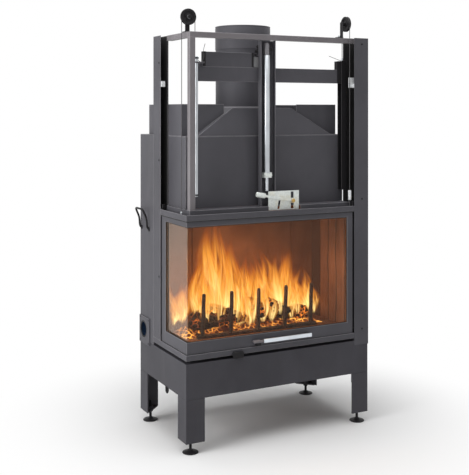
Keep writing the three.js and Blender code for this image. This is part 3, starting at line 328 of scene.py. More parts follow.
def flame():
    """A tongue of flame over its own width and height: streaked, solid low down, gone at its edges."""
    s = Shade("flame", "UV")
    across = s.axis("X")
    up = s.axis("Y")
    streak = s.noise(1.0, 4, 0.6, s.stretched(4.5, 1.3, 1), 1.4)
    offset = s.maths("SUBTRACT", s.maths("FRACT", across), 0.5)
    inner = s.maths("SUBTRACT", 1.0, s.maths("ABSOLUTE", s.times(offset, 2.0)))
    body = s.span(inner, 0.0, 0.7, 0.0, 1.0, smooth=True)
    low = s.span(up, 0.55, 1.0, 1.0, 0.0, smooth=True)
    foot = s.span(up, 0.0, 0.1, 0.2, 1.0, smooth=True)
    torn = s.span(streak, 0.34, 0.6, 0.15, 1.0)
    solid = s.times(s.times(body, low), s.times(foot, torn))
    heat = s.times(s.times(body, torn), s.span(up, 0.1, 0.9, 1.0, 0.05))
    tone = s.mix(s.span(heat, 0.0, 0.3), rgb(236, 104, 20), rgb(255, 172, 62))
    tone = s.mix(s.span(heat, 0.35, 0.85), tone, rgb(255, 226, 150))
    power = s.span(heat, 0.0, 0.9, 0.9, 2.1)
    return s.principled(
        Base_Color=(0, 0, 0, 1), Roughness=1.0, Specular_IOR_Level=0.0, Emission_Color=tone,
        Emission_Strength=power, Alpha=s.times(solid, 0.62),
    )


CHARCOAL = rgb(84, 83, 88)
charcoal = paint("charcoal_paint", CHARCOAL, 0.5)
# Lighter copies of the paints for the bevel faces: painted highlights along the edges. The flue's weld bead
# and the damper fork are drawn in the lighter charcoal too.
charcoal_highlight = paint("charcoal_highlight", rgb(138, 136, 140), 0.4)
# A darker copy of the charcoal paint for the base frame and legs: painted shade on the low parts.
shaded_base_charcoal = paint("shaded_base_charcoal", rgb(70, 69, 74), 0.52)
rail_grey = paint("rail_paint", rgb(122, 118, 121), 0.45)
rail_highlight = paint("rail_highlight", rgb(158, 155, 157), 0.4)
black = paint("black_paint", rgb(36, 35, 37), 0.5)
black_highlight = paint("black_highlight", rgb(82, 80, 82), 0.42)
bright = bare_metal("bright_steel", rgb(190, 194, 198), 0.34)
grip_steel = bare_metal("grip_steel", rgb(214, 220, 226), 0.4, lines=(0.02, 1, 1))
brass = bare_metal("brass", rgb(196, 164, 96), 0.38, lines=(1, 1, 1), stain=rgb(120, 92, 50))
zinc = zinc_plate()
iron = cast_iron()
brick = firebrick()
sooty_brick = firebrick("sooty_firebrick", 0.75)
glass = pane()
# Black plastic for real seals and lips, and also for black strips and sheets that are painted shadow.
seal_and_shade = plastic("black_seal_and_shade", rgb(24, 23, 24), 0.8)
nylon = plastic("pale_nylon", rgb(226, 228, 230), 0.5)
inlet_blue = plastic("blue_sleeve", rgb(16, 44, 74), 0.5)
light_grey = paint("light_grey_paint", rgb(150, 150, 152), 0.45)
rope = wire_rope()
wood = charred_wood()
embers = ember()
fire = flame()


# ---- meshes ----
class Form:
    """Gathers vertices and faces in the row frame, then becomes one named piece."""

    def __init__(self):
        self.vertices = []
        self.faces = []

    def add(self, vertices, faces):
        start = len(self.vertices)
        self.vertices += [Vector(v) for v in vertices]
        self.faces += [[start + i for i in face] for face in faces]
        return self

    def block(self, low, high):
        """A box between two corners."""
        corners = [(x, y, z) for z in (low[2], high[2]) for y in (low[1], high[1]) for x in (low[0], high[0])]
        return self.add(corners, [
            (0, 2, 3, 1), (4, 5, 7, 6), (0, 1, 5, 4), (2, 6, 7, 3), (0, 4, 6, 2), (1, 3, 7, 5),
        ])

    def tube(self, points, radius, sides=16, radii=None):
        """A closed round tube through points; radii, one for each point, takes the place of radius."""
        points = [Vector(p) for p in points]
        last = len(points) - 1
        ways = [(points[min(i + 1, last)] - points[max(i - 1, 0)]).normalized() for i in range(last + 1)]
        side = ways[0].orthogonal().normalized()
        rings = []
        for i, (point, way) in enumerate(zip(points, ways)):
            side = (side - way * side.dot(way)).normalized()
            up = way.cross(side)
            wide = radii[i] if radii else radius
            turns = [2 * math.pi * k / sides for k in range(sides)]
            rings += [point + (side * math.cos(a) + up * math.sin(a)) * wide for a in turns]
        return self.add(rings, ring_faces(len(points), sides))

    def lathe(self, profile, centre, axis=Z, sides=64):
        """A shape of revolution about axis from (radius, height) pairs in mm, closed or from axis to axis."""
        side = axis.orthogonal().normalized()
        up = axis.cross(side)
        closed = profile[0] == profile[-1]
        rows = profile[:-1] if closed else profile
        rings = []
        for radius, height in rows:
            for k in range(sides):
                a = 2 * math.pi * k / sides
                out = side * math.cos(a) + up * math.sin(a)
                rings.append(centre + axis * (height * MM) + out * (max(radius, 0.01) * MM))
        return self.add(rings, ring_faces(len(rows), sides, closed))

    def prism(self, outline, front, back):
        """The solid between an outline and its copy, both lists of points."""
        count = len(outline)
        vertices = [front + p for p in outline] + [back + p for p in outline]
        faces = [list(range(count))[::-1], list(range(count, 2 * count))]
        faces += [[i, (i + 1) % count, (i + 1) % count + count, i + count] for i in range(count)]
        return self.add(vertices, faces)

    def bolt(self, centre, axis, across, height):
        """A hexagon head on a washer, seated on centre and standing along axis; sizes in mm."""
        self.lathe([(0, 0), (across * 0.68, 0), (across * 0.68, 1.2), (0, 1.2)], centre, axis, 24)
        side = axis.orthogonal().normalized()
        up = axis.cross(side)
        flats = [2 * math.pi * k / 6 for k in range(6)]
        outline = [(side * math.cos(a) + up * math.sin(a)) * (across * 0.55 * MM) for a in flats]
        return self.prism(outline, centre + axis * (1.2 * MM), centre + axis * (height * MM))

    def piece(self, name, body, material, slot="black_steel", bevel=0.0, replaces=(), angle=38, segments=2):
        mesh = bpy.data.meshes.new(name)
        mesh.from_pydata(self.vertices, [], self.faces)
        mesh.materials.append(material)
        mesh.validate()
        shown = placed(name, mesh)
        outward(mesh)
        mesh.shade_smooth()
        mesh.set_sharp_from_angle(angle=math.radians(angle))
        if bevel:
            edges = shown.modifiers.new("edges", "BEVEL")
            edges.width = bevel * MM
            edges.segments = segments
            edges.limit_method = "ANGLE"
            edges.angle_limit = math.radians(40)
            edges.harden_normals = True
        if body:
            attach(shown, body)
        if replaces:
            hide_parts(*replaces)
        return shown


def ring_faces(rows, sides, closed=False):
    faces = []
    for row in range(rows if closed else rows - 1):
        below, above = row * sides, ((row + 1) % rows) * sides
        for k in range(sides):
            after = (k + 1) % sides
            faces.append([below + k, below + after, above + after, above + k])
    if not closed:
        faces.append(list(range(sides))[::-1])
        faces.append([(rows - 1) * sides + k for k in range(sides)])
    return faces


def slab_faces(cols, rows):
    """The faces of a closed slab between two grids of points, the front one's points given first."""
    wide = cols + 1
    total = wide * (rows + 1)
    faces = []
    for k in range(rows):
        for i in range(cols):
            a = k * wide + i
            faces.append([a, a + 1, a + 1 + wide, a + wide])
            faces.append([total + a + wide, total + a + 1 + wide, total + a + 1, total + a])
    for i in range(cols):
        top = total - wide + i
        faces.append([total + i, total + i + 1, i + 1, i])
        faces.append([top, top + 1, total + top + 1, total + top])
    for k in range(rows):
        a, b = k * wide, k * wide + cols
        faces.append([a, a + wide, total + a + wide, total + a])
        faces.append([total + b, total + b + wide, b + wide, b])
    return faces


def ring(inner, outer, low, high):
    """The profile of a plain ring."""
    return [(inner, low), (outer, low), (outer, high), (inner, high), (inner, low)]


def outward(mesh):
    """Turns every face of a closed mesh outwards."""
    form = bmesh.new()
    form.from_mesh(mesh)
    bmesh.ops.recalc_face_normals(form, faces=form.faces)
    form.to_mesh(mesh)
    form.free()


def middle(node):
    low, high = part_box(node)
    return (low + high) / 2


def curve_points(points, count):
    """Points along a smooth line through a few given ones."""
    out = []
    padded = [points[0] * 2 - points[1], *points, points[-1] * 2 - points[-2]]
    spans = len(points) - 1
    for i in range(count + 1):
        t = i / count * spans
        k = min(int(t), spans - 1)
        u = t - k
        a, b, c, d = padded[k:k + 4]
        bend, twist = 2 * a - 5 * b + 4 * c - d, 3 * b - a - 3 * c + d
        out.append(0.5 * (2 * b + (c - a) * u + bend * u * u + twist * u ** 3))
    return out


# ---- sheet steel nodes: real bevelled edges; a lighter paint on them is a painted highlight ----
EDGE = 0.9  # mm


def dress(names, material, edge, width=EDGE):
    for name in names:
        node = nodes[name]
        mesh = node.data
        normals = mesh.attributes.get("custom_normal")
        if normals:
            mesh.attributes.remove(normals)
        mesh.shade_flat()
        mesh.materials.clear()
        mesh.materials.append(material)
        mesh.materials.append(edge)
        weld = node.modifiers.new("weld", "WELD")
        weld.merge_threshold = 0.02 * MM
        flat = node.modifiers.new("flat", "DECIMATE")
        flat.decimate_type = "DISSOLVE"
        flat.angle_limit = math.radians(1)
        edges = node.modifiers.new("edges", "BEVEL")
        edges.width = width * MM
        edges.segments = 1
        edges.limit_method = "ANGLE"
        edges.angle_limit = math.radians(50)
        edges.use_clamp_overlap = False
        # The bevel faces take the second material; where it is a lighter copy of the paint, it is a painted
        # highlight.
        edges.material = 1


def dress_nodes():
    dress([
        "sill", "lintel_lip", "lintel_frame", "left_post", "body_front_panel", "body_left_panel",
        "body_right_panel", "body_rear_panel", "body_top_plate", "left_casing", "upper_casing_left",
        "upper_casing_right", "door_frame", "counterweight_bar", "counterweight_box",
    ], charcoal, charcoal_highlight)
    # The base frame and legs take the darker copy of the charcoal paint: painted shade.
    dress([
        "base_frame", "leg_front_left", "leg_front_right", "leg_rear_left", "leg_rear_right",
    ], shaded_base_charcoal, shaded_base_charcoal)
    dress(["right_post"], charcoal, charcoal)
    dress(["smoke_hood", "centre_post", "air_inlet"], charcoal, charcoal_highlight, 0.6)
    dress(["corner_post", "top_rail_front", "top_rail_left"], rail_grey, rail_highlight)
    # The guide channel's black stands for the shade and dark reflections on it: painted shade.
    dress([
        "pulley_bracket_left", "pulley_bracket_right", "guide_channel", "ash_pan", "door_runner_left",
        "door_runner_right", "damper_flap",
    ], black, black_highlight, 0.6)
    dress(["door_stop_left", "door_stop_right"], nylon, nylon, 0.6)
    dress(["control_plate"], zinc, bright, 0.4)
    dress(["grate"], iron, iron, 0.5)
    dress(["hearth_floor", "smoke_baffle"], brick, brick)
    dress(["door_glass_front", "door_glass_side"], glass, glass, 0.4)


# ---- round and detailed pieces that take the place of their nodes ----
def make_flue():
    low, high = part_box("flue_tube")
    centre = middle("flue_tube")
    base = Vector((centre.x, centre.y, 0))
    collar = (high.x - low.x) / 2 / MM
    pipe, bore = collar - 2, collar - 5
    z0, z1 = low.z / MM, high.z / MM
    shoulder, seam = z1 - 104, z1 - 53
    profile = [
        (bore, z0), (pipe, z0), (pipe, shoulder - 3), (pipe + 0.6, shoulder - 1.5), (collar - 0.8, shoulder),
        (collar, shoulder + 1.2), (collar, seam - 2.2), (collar - 1.1, seam - 1.2),
        (collar - 1.1, seam + 1.2), (collar, seam + 2.2), (collar, z1 - 9), (collar - 0.8, z1 - 7),
        (collar - 0.8, z1 - 5), (collar, z1 - 3.4), (collar, z1 - 1), (collar - 1, z1),
        (bore + 1, z1), (bore, z1 - 1), (bore, z0),
    ]
    Form().lathe(profile, base, Z, 144).piece(
        "flue_pipe", "root", charcoal, "charcoal_steel", replaces=["flue_tube"], angle=25)
    # A black ring fills the collar's seam groove: painted shade in the groove.
    seam_shade = ring(collar - 1.4, collar - 0.3, seam - 1.6, seam + 1.6)
    Form().lathe(seam_shade, base, Z, 144).piece("flue_seam_shadow", "root", seal_and_shade, angle=25)
    weld = [
        (pipe + 0.3, z0), (pipe + 5, z0), (pipe + 5, z0 + 3), (pipe + 1.5, z0 + 6), (pipe + 0.3, z0 + 6),
        (pipe + 0.3, z0),
    ]
    Form().lathe(weld, base, Z, 96).piece("flue_weld", "root", charcoal_highlight, "charcoal_steel", angle=25)


PULLEY_HALF = 6.0  # mm, half of its width


def make_pulley(node, body, axis):
    """A turned rim and hub with a dished web and four bolt heads; axis points to the face that shows."""
    h = PULLEY_HALF
    face = [
        (5.3, h - 0.6), (6.0, h), (11.5, h), (12.5, h - 0.8), (13.5, h - 3.4), (21.0, h - 3.4),
        (22.5, h - 2.6), (23.8, h - 0.4), (25, h), (33, h), (33.8, h - 0.5), (34, h - 1.4), (29.2, 2.4),
        (28.2, 1.2),
    ]
    profile = face + [(r, -z) for r, z in reversed(face)] + [face[0]]
    centre = middle(node)
    form = Form().lathe(profile, centre, axis, 72)
    side = axis.orthogonal().normalized()
    for k in range(4):
        out = Matrix.Rotation(math.pi / 2 * k + 0.4, 3, axis) @ side
        form.bolt(centre + out * (17.2 * MM) + axis * ((h - 3.5) * MM), axis, 4.5, 3.2)
    form.piece(node + "_wheel", body, black, replaces=[node], angle=30)


def make_pulleys():
    make_pulley("pulley_left", "pulley_left_wheel", -Y)
    make_pulley("pulley_right", "pulley_right_wheel", X)
    for name, axis in (("left", -Y), ("right", X)):
        centre = middle("pulley_" + name)
        tip = centre + axis * ((PULLEY_HALF + 2.2) * MM)
        Form().lathe([(0, 0), (8.4, 0), (8.4, 1.4), (5.4, 2.0), (5.4, 3.4), (0, 3.7)], tip, axis, 40).piece(
            f"pulley_cap_{name}", "root", bright, "bright_steel")


def make_cables():
    """Each rope is a run to the door, the turn over the pulley and a run to the counterweight."""
    for name, across in (("left", X), ("right", Y)):
        low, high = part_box("cable_" + name)
        centre = middle("pulley_" + name)
        thick = (high - low).dot(Y if across == X else X) / 2
        reach = (high - low).dot(across) / 2 - thick
        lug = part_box("counterweight_bar")[1].z
        if name == "left":
            lug -= 19 * MM
        feet = {}
        for end, body, way, foot_z, gone in (
            ("door", "door", -1, low.z, ["cable_" + name]), ("weight", "counterweight", 1, lug, []),
        ):
            top = centre + across * (way * reach)
            foot = feet[end] = Vector((top.x, top.y, foot_z))
            run = [top.lerp(foot, k / 16) for k in range(17)]
            shown = Form().tube(run, thick, 12).piece(f"cable_{name}_{end}_run", None, rope, replaces=gone)
            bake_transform(shown)
        arc = [
            centre - across * (reach * math.cos(a)) + Z * (reach * math.sin(a))
            for a in (math.pi * k / 40 for k in range(41))
        ]
        Form().tube(arc, thick, 12).piece(f"cable_{name}_turn", "root", rope)
        Form().lathe(
            [(1.8, 1), (4.6, 1), (5, 2), (5, 15), (4.4, 16), (1.8, 16), (1.8, 1)], feet["weight"], Z, 32,
        ).piece(f"cable_{name}_ferrule", "counterweight", bright, "bright_steel")
        Form().lathe(
            [(1.8, 32), (6.3, 32), (7, 33), (7, 74), (6.3, 75), (1.8, 75), (1.8, 32)]
            if name == "right" else [(1.8, 1), (4, 1), (4.4, 2), (4.4, 14), (1.8, 15), (1.8, 1)],
            feet["door"], Z, 32,
        ).piece(f"cable_{name}_door_end", "door", nylon if name == "right" else bright, "bright_steel")


def make_wire_tails():
    """The ropes' free ends stand out of their clamps, and one makes a small loop beside the weight box."""
    tails = {
        "left_loop": [(74, 62, 1612), (86, 60, 1598), (98, 60, 1596), (106, 60, 1612), (109, 62, 1630)],
        "left_stub": [(108, 70, 1636), (110, 66, 1652), (115, 64, 1672)],
        "right_tail": [(797, 66, 1616), (770, 60, 1622), (742, 58, 1630), (722, 58, 1636)],
    }
    for name, line in tails.items():
        points = curve_points([at(*p) for p in line], 20)
        Form().tube(points, 1.1 * MM, 8).piece("wire_" + name, "counterweight", rope)


def make_counterweight_details():
    x0, y0, z0, x1, y1, z1 = limits("counterweight_box")
    _, _, bar_foot, bar_end, bar_back, bar_top = limits("counterweight_bar")
    caps = {
        "weight_box_end_left": (mm(x0 - 1.5, y0 - 1, z0 + 1), mm(x0 + 9, y1 + 0.5, z1 + 1)),
        "weight_box_end_right": (mm(x1 - 9, y0 - 0.6, z0 + 1), mm(x1 + 1, y1, z1 + 0.6)),
        "weight_bar_end": (
            mm(bar_end - 40, CORNER.y / MM + 66.6, bar_foot), mm(bar_end + 0.2, bar_back, bar_top)),
    }
    for name, corners in caps.items():
        Form().block(*corners).piece(name, "counterweight", black, bevel=0.8)
    Form().block(mm(x1 + 1.5, y0 + 4, z0 + 2), mm(x1 + 30.5, y0 + 16, z0 + 46)).piece(
        "spring_block", "counterweight", light_grey, "frame_steel", bevel=1.5)
    zigzag = [
        (372, 70, 1624), (352, 70, 1632), (372, 70, 1640), (356, 70, 1650), (372, 70, 1657), (362, 70, 1668),
        (374, 70, 1674),
    ]
    Form().tube(curve_points([at(*p) for p in zigzag], 60), 2.4 * MM, 10).piece(
        "spring_wire", "counterweight", black)


def make_guide_rod():
    low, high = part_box("guide_rod")
    radius = 6.2
    x, y = high.x - radius * MM, CORNER.y + 64 * MM
    base = Vector((x, y, 0))
    z0, z1 = low.z / MM, high.z / MM
    bar = [(0, z0), (radius - 1.2, z0), (radius, z0 + 1.2), (radius, z1 - 1.2), (radius - 1.2, z1), (0, z1)]
    form = Form().lathe(bar, base, Z, 48)
    form.piece("guide_rod_bar", "root", bright, "bright_steel", replaces=["guide_rod"])
    arms = Form()
    for z in (z0 + 4, z1 - 10):
        arms.block((low.x, y - 5 * MM, z * MM), (x - 2 * MM, y + 3 * MM, (z + 6) * MM))
        arms.lathe(ring(radius + 0.2, radius + 3.4, z, z + 6), base, Z, 40)
    arms.piece("guide_rod_arms", "root", black, bevel=0.5)


def make_damper_rod():
    """Bright tube with its bolted clamp below, the thin rod in it and the fork on top."""
    x, y = 400.0, 49.5
    low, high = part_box("damper_rod")
    z0, z1 = low.z / MM, high.z / MM
    foot, top = 1127.0, 1630.0
    base = at(x, y, 0)
    tube = [(12, foot), (13.4, foot), (14, foot + 0.8), (14, top - 0.8), (13.4, top), (12, top), (12, foot)]
    Form().lathe(tube, base, Z, 64).piece(
        "damper_tube", "damper_push_rod", bright, "bright_steel", replaces=["damper_rod"])
    Form().lathe(
        [(0, z0), (6.6, z0), (7.5, z0 + 1), (7.5, foot + 60), (0, foot + 60)], base, Z, 40,
    ).piece("damper_inner_rod", "damper_push_rod", bright, "bright_steel")
    clamp = Form().block(at(x - 16.5, y - 10.5, foot - 20), at(x + 19, y - 7.7, foot + 2))
    clamp.block(at(x - 16.5, y + 7.7, foot - 20), at(x + 19, y + 10.5, foot + 2))
    clamp.lathe(ring(7.7, 10.4, foot - 19, foot + 1), base, Z, 40)
    clamp.piece("damper_clamp", "damper_push_rod", zinc, "zinc_plate", bevel=0.6)
    bolts = Form()
    for dx in (-12.3, 14.6):
        bolts.bolt(at(x + dx, y - 10.5, foot - 9), -Y, 7.5, 5)
        bolts.tube([at(x + dx, y - 7.7, foot - 9), at(x + dx, y + 10.4, foot - 9)], 2.6 * MM, 20)
    bolts.piece("damper_clamp_bolts", "damper_push_rod", zinc, "zinc_plate", bevel=0.25)
    tall = z1 - top
    prong = ((-11, 0), (6, 0), (6, tall - 8), (2, tall - 2), (-3, tall), (-8, tall - 2), (-11, tall - 8))
    outline = [mm(across, 0, up) for across, up in prong]
    fork = Form()
    for y0, y1 in ((y - 10, y - 5.5), (y + 4, y + 8)):
        fork.prism(outline, at(x, y0, top - 1), at(x, y1, top - 1))
    fork.piece("damper_fork", "damper_push_rod", charcoal_highlight, "charcoal_steel", bevel=0.5)


LEVER_RISE = 10.4  # degrees


def make_lever():
    """The lever's rounded blade, its flattened grip and the pin that the rod stands on."""
    pivot = at(521, 34, 1005)
    along = Matrix.Rotation(math.radians(LEVER_RISE), 3, Y) @ -X
    over = Matrix.Rotation(math.radians(LEVER_RISE), 3, Y) @ Z
    start, length, flat = 139.0, 45.0, 13 / 23

    def spot(out, up, y):
        return pivot + along * (out * MM) + over * (up * MM) + Y * (y * MM)

    turns = [math.pi * k / 18 for k in range(19)]
    outline = [(-10.6 * math.sin(a), 10.6 * math.cos(a)) for a in turns]
    outline += [(14, -5), (start + 8, -5), (start + 8, 5), (14, 5)]
    rim = [along * (out * MM) + over * (up * MM) for out, up in outline]
    blade = Form().prism(rim, pivot - Y * (2 * MM), pivot + Y * (2 * MM))
    blade.piece("lever_blade", "damper_lever_arm", zinc, "zinc_plate", bevel=0.5, replaces=["damper_lever"])
    profile = [
        (0, 0), (9.6, 0), (10.8, 1), (11.4, 3), (11.4, length - 6), (10.8, length - 2.6), (9, length - 0.6),
        (0, length),
    ]
    grip = Form().lathe(profile, spot(start, 0, 0.5), along, 48)
    for v in grip.vertices:
        v.y = pivot.y + 0.5 * MM + (v.y - pivot.y - 0.5 * MM) * flat
    grip.piece("lever_grip", "damper_lever_arm", zinc, "zinc_plate", angle=45)
    pin = Form().tube([spot(125, 0, 1.5), spot(125, 0, 7.5)], 2.5 * MM, 20)
    pin.piece("lever_pin", "damper_lever_arm", bright, "bright_steel")
    head = Form().bolt(pivot - Y * (5.2 * MM), -Y, 11, 5.5)
    head.lathe(ring(5.2, 9.5, 2.4, 3.4), pivot, -Y, 32)
    head.piece("lever_pivot_bolt", "root", brass, "zinc_plate", bevel=0.3)


def make_foot(corner):
    low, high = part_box("foot_" + corner)
    centre = middle("foot_" + corner)
    base = Vector((centre.x, centre.y, 0))
    disc = (high.x - low.x) / 2 / MM
    top = high.z / MM
    profile = [
        (0, 0.3), (disc - 1.4, 0), (disc - 0.2, 0.8), (disc, 2.2), (disc - 0.8, 3.6), (disc - 3, 4.6),
        (19, 6.6), (13.5, 8.4), (11.6, 10.5), (10.6, 12.6), (7.2, 14.4), (5.9, 15.6),
    ]
    turns = int((top - 2 - 17) / 1.75)
    for k in range(turns):
        z = 17 + 1.75 * k
        profile += [(5.9, z), (5.1, z + 0.87)]
    profile += [(5.0, top - 1), (4.4, top), (0, top)]
    Form().lathe(profile, base, Z, 48).piece(
        "levelling_" + corner, "levelling_foot_" + corner, black, replaces=["foot_" + corner], angle=60)
    seat = Vector((centre.x, centre.y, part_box("leg_" + corner)[0].z))
    Form().lathe(
        [(6.4, -9), (10.2, -9), (11, -8), (11, -0.5), (6.4, -0.5), (6.4, -9)], seat, Z, 6,
    ).piece("lock_nut_" + corner, "root", black, bevel=0.5)


def make_side_handle():
    line = [
        (-1.5, 400, 868), (-9, 400, 880), (-13, 400, 915), (-26, 401, 947), (-30, 410, 957), (-30, 444, 958),
        (-30, 478, 957), (-26, 487, 947), (-13, 488, 915), (-9, 488, 880), (-1.5, 488, 868),
    ]
    form = Form().tube(curve_points([at(*p) for p in line], 110), 4.4 * MM, 20)
    form.piece("side_handle_bow", "root", black, replaces=["side_handle"])
    feet = Form()
    for y in (400, 488):
        feet.lathe([(0, 0.4), (10, 0.4), (10, 2), (8.6, 3), (5, 3.6), (0, 3.8)], at(0, y, 869), -X, 32)
    feet.piece("side_handle_feet", "root", black)


def make_door_handle():
    """The bright grip, its grey mount on the left, the latch under that and the stay on the right."""
    x0, y0, z0, x1, y1, z1 = limits("door_handle")
    start, rear = x0 + 47, y0 + 10
    Form().block(mm(start, y0, z0), mm(x1, rear, z1)).piece(
        "handle_grip", "door", grip_steel, "bright_steel", bevel=2.2, replaces=["door_handle"], segments=4)
    mount = Form().block(mm(x0, y0 + 1.5, z0 + 3), mm(start - 0.3, rear - 1, z1 - 3))
    mount.block(mm(x0 + 3, y0 + 5, z0 + 4), mm(start - 12, y1, z1 - 4))
    mount.piece("handle_mount", "door", rail_grey, "frame_steel", bevel=1.6, segments=3)
    Form().block(mm(x0 + 14, y0 + 4, z0 - 9), mm(x0 + 34, y1, z0 + 2.6)).piece(
        "handle_latch", "door", black, bevel=1.2, segments=3)
    Form().block(mm(x1 - 22, rear - 3, z0 + 2), mm(x1 - 6, y1, z1 - 2)).piece(
        "handle_stay", "door", black, bevel=0.5)


BOTTOM_RAIL, TOP_RAIL, RIGHT_STILE, LEFT_STILE = 48, 42, 29, 43  # mm, the door frame's widths


def make_seals():
    """Black rope seals between the panes and the door frame, on both sides of the corner; they are partly
    painted shadow, standing for the shade in the frame's rebate.
    """
    x0, y0, z0, x1, y1, z1 = limits("door_frame")
    sill, head = z0 + BOTTOM_RAIL, z1 - TOP_RAIL
    right, rear = x1 - RIGHT_STILE, y1 - LEFT_STILE
    side, front = x0 + 2.4, y0 + 2.4
    half = 1.6
    below, above = sill + half, head - half
    form = Form()
    for line in (
        ((side, rear, below), (side, front, below), (right, front, below), (right, front, above)),
        ((side, rear, sill), (side, rear, above), (side, front, above), (right, front, above)),
    ):
        form.tube([mm(*p) for p in line], half * MM, 10)
    form.piece("glass_seal_and_shadow", "door", seal_and_shade)
    bead = [mm(x0 + 5.6, y0 + 5.6, z) for z in (sill, head)]
    Form().tube(bead, 0.9 * MM, 10).piece("glass_corner_bead", "door", glass, "ceramic_glass")


def make_air_knob():
    x0, y0, z0, x1, y1, z1 = limits("air_slider")
    Form().block(mm(x0, y0, z0), mm(x1, y0 + 13, z1)).piece(
        "air_knob", "air_control", black, bevel=4.5, replaces=["air_slider"], segments=6)
    centre = (x0 + x1) / 2
    Form().block(mm(centre - 12, y0 + 10, z0 + 4.3), mm(centre + 12, y1, z1 - 3.4)).piece(
        "air_knob_stem", "air_control", black, bevel=0.4)


def make_inlet():
    """A blue sleeve lines the air inlet, behind a black rubber lip."""
    y, z = 455, 417
    Form().lathe(
        ring(35.6, 37.6, -26, 4.5), at(0, y, z), -X, 80,
    ).piece("inlet_sleeve", "root", inlet_blue)
    Form().lathe(
        [(30.5, 3.2), (37.4, 2.8), (37.6, 5), (34.5, 5), (30.5, 4.4), (30.5, 3.2)], at(0, y, z), -X, 80,
    ).piece("inlet_lip", "root", seal_and_shade)
    screws = Form()
    for dy, dz in ((-58, -54), (-58, 48), (40, -54), (40, 48)):
        screws.lathe([(0, 5), (3.6, 5), (3.2, 6.2), (1.8, 6.8), (0, 6.9)], at(0, y + dy, z + dz), -X, 20)
    screws.piece("inlet_screws", "root", black)


def make_small_parts():
    """Screw heads on the posts, the hook under the left apron and the pulley brackets' bolts."""
    screws = Form()
    for y, z in ((285, 678), (285, 1180), (285, 1600)):
        screws.lathe([(0, 0), (4.6, 0), (4.2, 1.4), (2.4, 2.3), (0, 2.5)], at(0, y, z), -X, 24)
    for x, z in ((860, 1690), (860, 1000), (860, 420)):
        screws.lathe([(0, 0), (4.2, 0), (3.8, 1.0), (2, 1.6), (0, 1.7)], at(x, 0, z), -Y, 24)
    screws.piece("post_screws", "root", black)
    bends = ((196, 229), (190, 214), (198, 203), (208, 208), (209, 229))
    hook = curve_points([at(1.5, y, z) for y, z in bends], 30)
    Form().tube(hook, 4 * MM, 12).piece("apron_hook", "root", black)
    brackets = Form()
    for name in ("left", "right"):
        x0, y0, z0, x1, y1, _ = limits("pulley_bracket_" + name)
        x, y = ((x0 + x1) / 2, y1 - 12) if name == "left" else (x0 + 12, (y0 + y1) / 2)
        brackets.bolt(mm(x, y, z0 + 4), Z, 9, 6.5)
    brackets.piece("bracket_bolts", "root", bright, "bright_steel", bevel=0.3)


def make_gap_shadows():
    """Black sheets in the joints above and below the door, at the back of the slot under the sill and inside
    the open posts: painted shadow where these gaps and channels are in shade.
    """
    gap_shadows = Form()
    gap_shadows.block(at(0.3, 0.3, 943), at(818, 4.7, 945.9)).block(at(0.3, 5, 943), at(4.7, 270, 945.9))
    gap_shadows.block(at(5.5, 5.5, 405.2), at(812, 26, 406.7)).block(at(5.5, 26.3, 405.2), at(26, 268, 406.7))
    gap_shadows.block(at(30, 29.2, 369.2), at(818, 29.8, 381.6)).block(at(29.2, 30, 369.2), at(29.8, 349, 381.6))
    gap_shadows.piece("joint_shadow_strips", "root", seal_and_shade)
    # Black sheets inside the open posts: painted shade.
    shade_sheets = Form().block(at(33.7, 271.4, 986), at(35.4, 346, 1716))
    shade_sheets.block(at(819.5, 86.5, 370), at(890.5, 88.7, 1716))
    shade_sheets.piece("post_shadow_sheets", "root", seal_and_shade)


# ---- linings ----
FLUTES = ((46, 2.0, 0.0), (117, 3.4, 1.1), (180, 2.6, 2.3))  # mm from the front, mm of sway, phase


def flute_line(flute, z):
    """How far back one of the right lining's flutes runs at a height, in mm."""
    centre, sway, phase = flute
    return centre + sway * math.sin(z * 17 + phase) + 1.6 * math.sin(z * 41 + phase * 2)


def make_linings():
    """Three rear slabs with open joints, and a right slab with wavy upright flutes before a plain strip."""
    low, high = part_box("lining_rear")
    joints = [low.x, low.x + 130 * MM, high.x - 122 * MM, high.x]
    slabs = Form()
    for x0, x1 in zip(joints, joints[1:]):
        slabs.block((x0 + 0.8 * MM, low.y, low.z), (x1 - 0.8 * MM, high.y, high.z))
    slabs.piece("lining_rear_slabs", "root", brick, "refractory", bevel=2.4, replaces=["lining_rear"])

    low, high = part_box("lining_right")
    plain = CORNER.y + 240 * MM
    across = [low.y + (high.y - low.y) * i / 120 for i in range(121)]
    rise = [low.z + (high.z - low.z) * k / 56 for k in range(57)]
    front, back = [], []
    for z in rise:
        for y in across:
            depth = 0.0
            for flute in FLUTES:
                off = (y - CORNER.y) / MM - flute_line(flute, z)
                depth += 5.2 * math.exp(-(off / 3.2) ** 2) + 1.4 * math.exp(-(off / 14) ** 2)
            ripple = 0.9 * noise.noise(Vector((y * 55, z * 9, 3.1))) if y < plain else 0.0
            step = 2.2 * ease(y, plain, plain + 3 * MM)
            front.append((low.x + min(max(depth + ripple + step, 0.0), 8.5) * MM, y, z))
            back.append((high.x, y, z))
    Form().add(front + back, slab_faces(len(across) - 1, len(rise) - 1)).piece(
        "lining_right_fluted", "root", brick, "refractory", replaces=["lining_right"], angle=60)
    lines = Form()
    for flute in FLUTES:
        path = [Vector((low.x + 4.2 * MM, CORNER.y + MM * flute_line(flute, z), z)) for z in rise]
        lines.tube(path, 1.5 * MM, 8)
    lines.piece("lining_flute_shadows", "root", seal_and_shade, "refractory")
    strip_low = (low.x + 1.2 * MM, CORNER.y + 244 * MM, low.z + 1 * MM)
    Form().block(strip_low, (low.x + 2.6 * MM, high.y, high.z)).piece(
        "lining_soot_strip", "root", sooty_brick, "refractory", bevel=0.4)


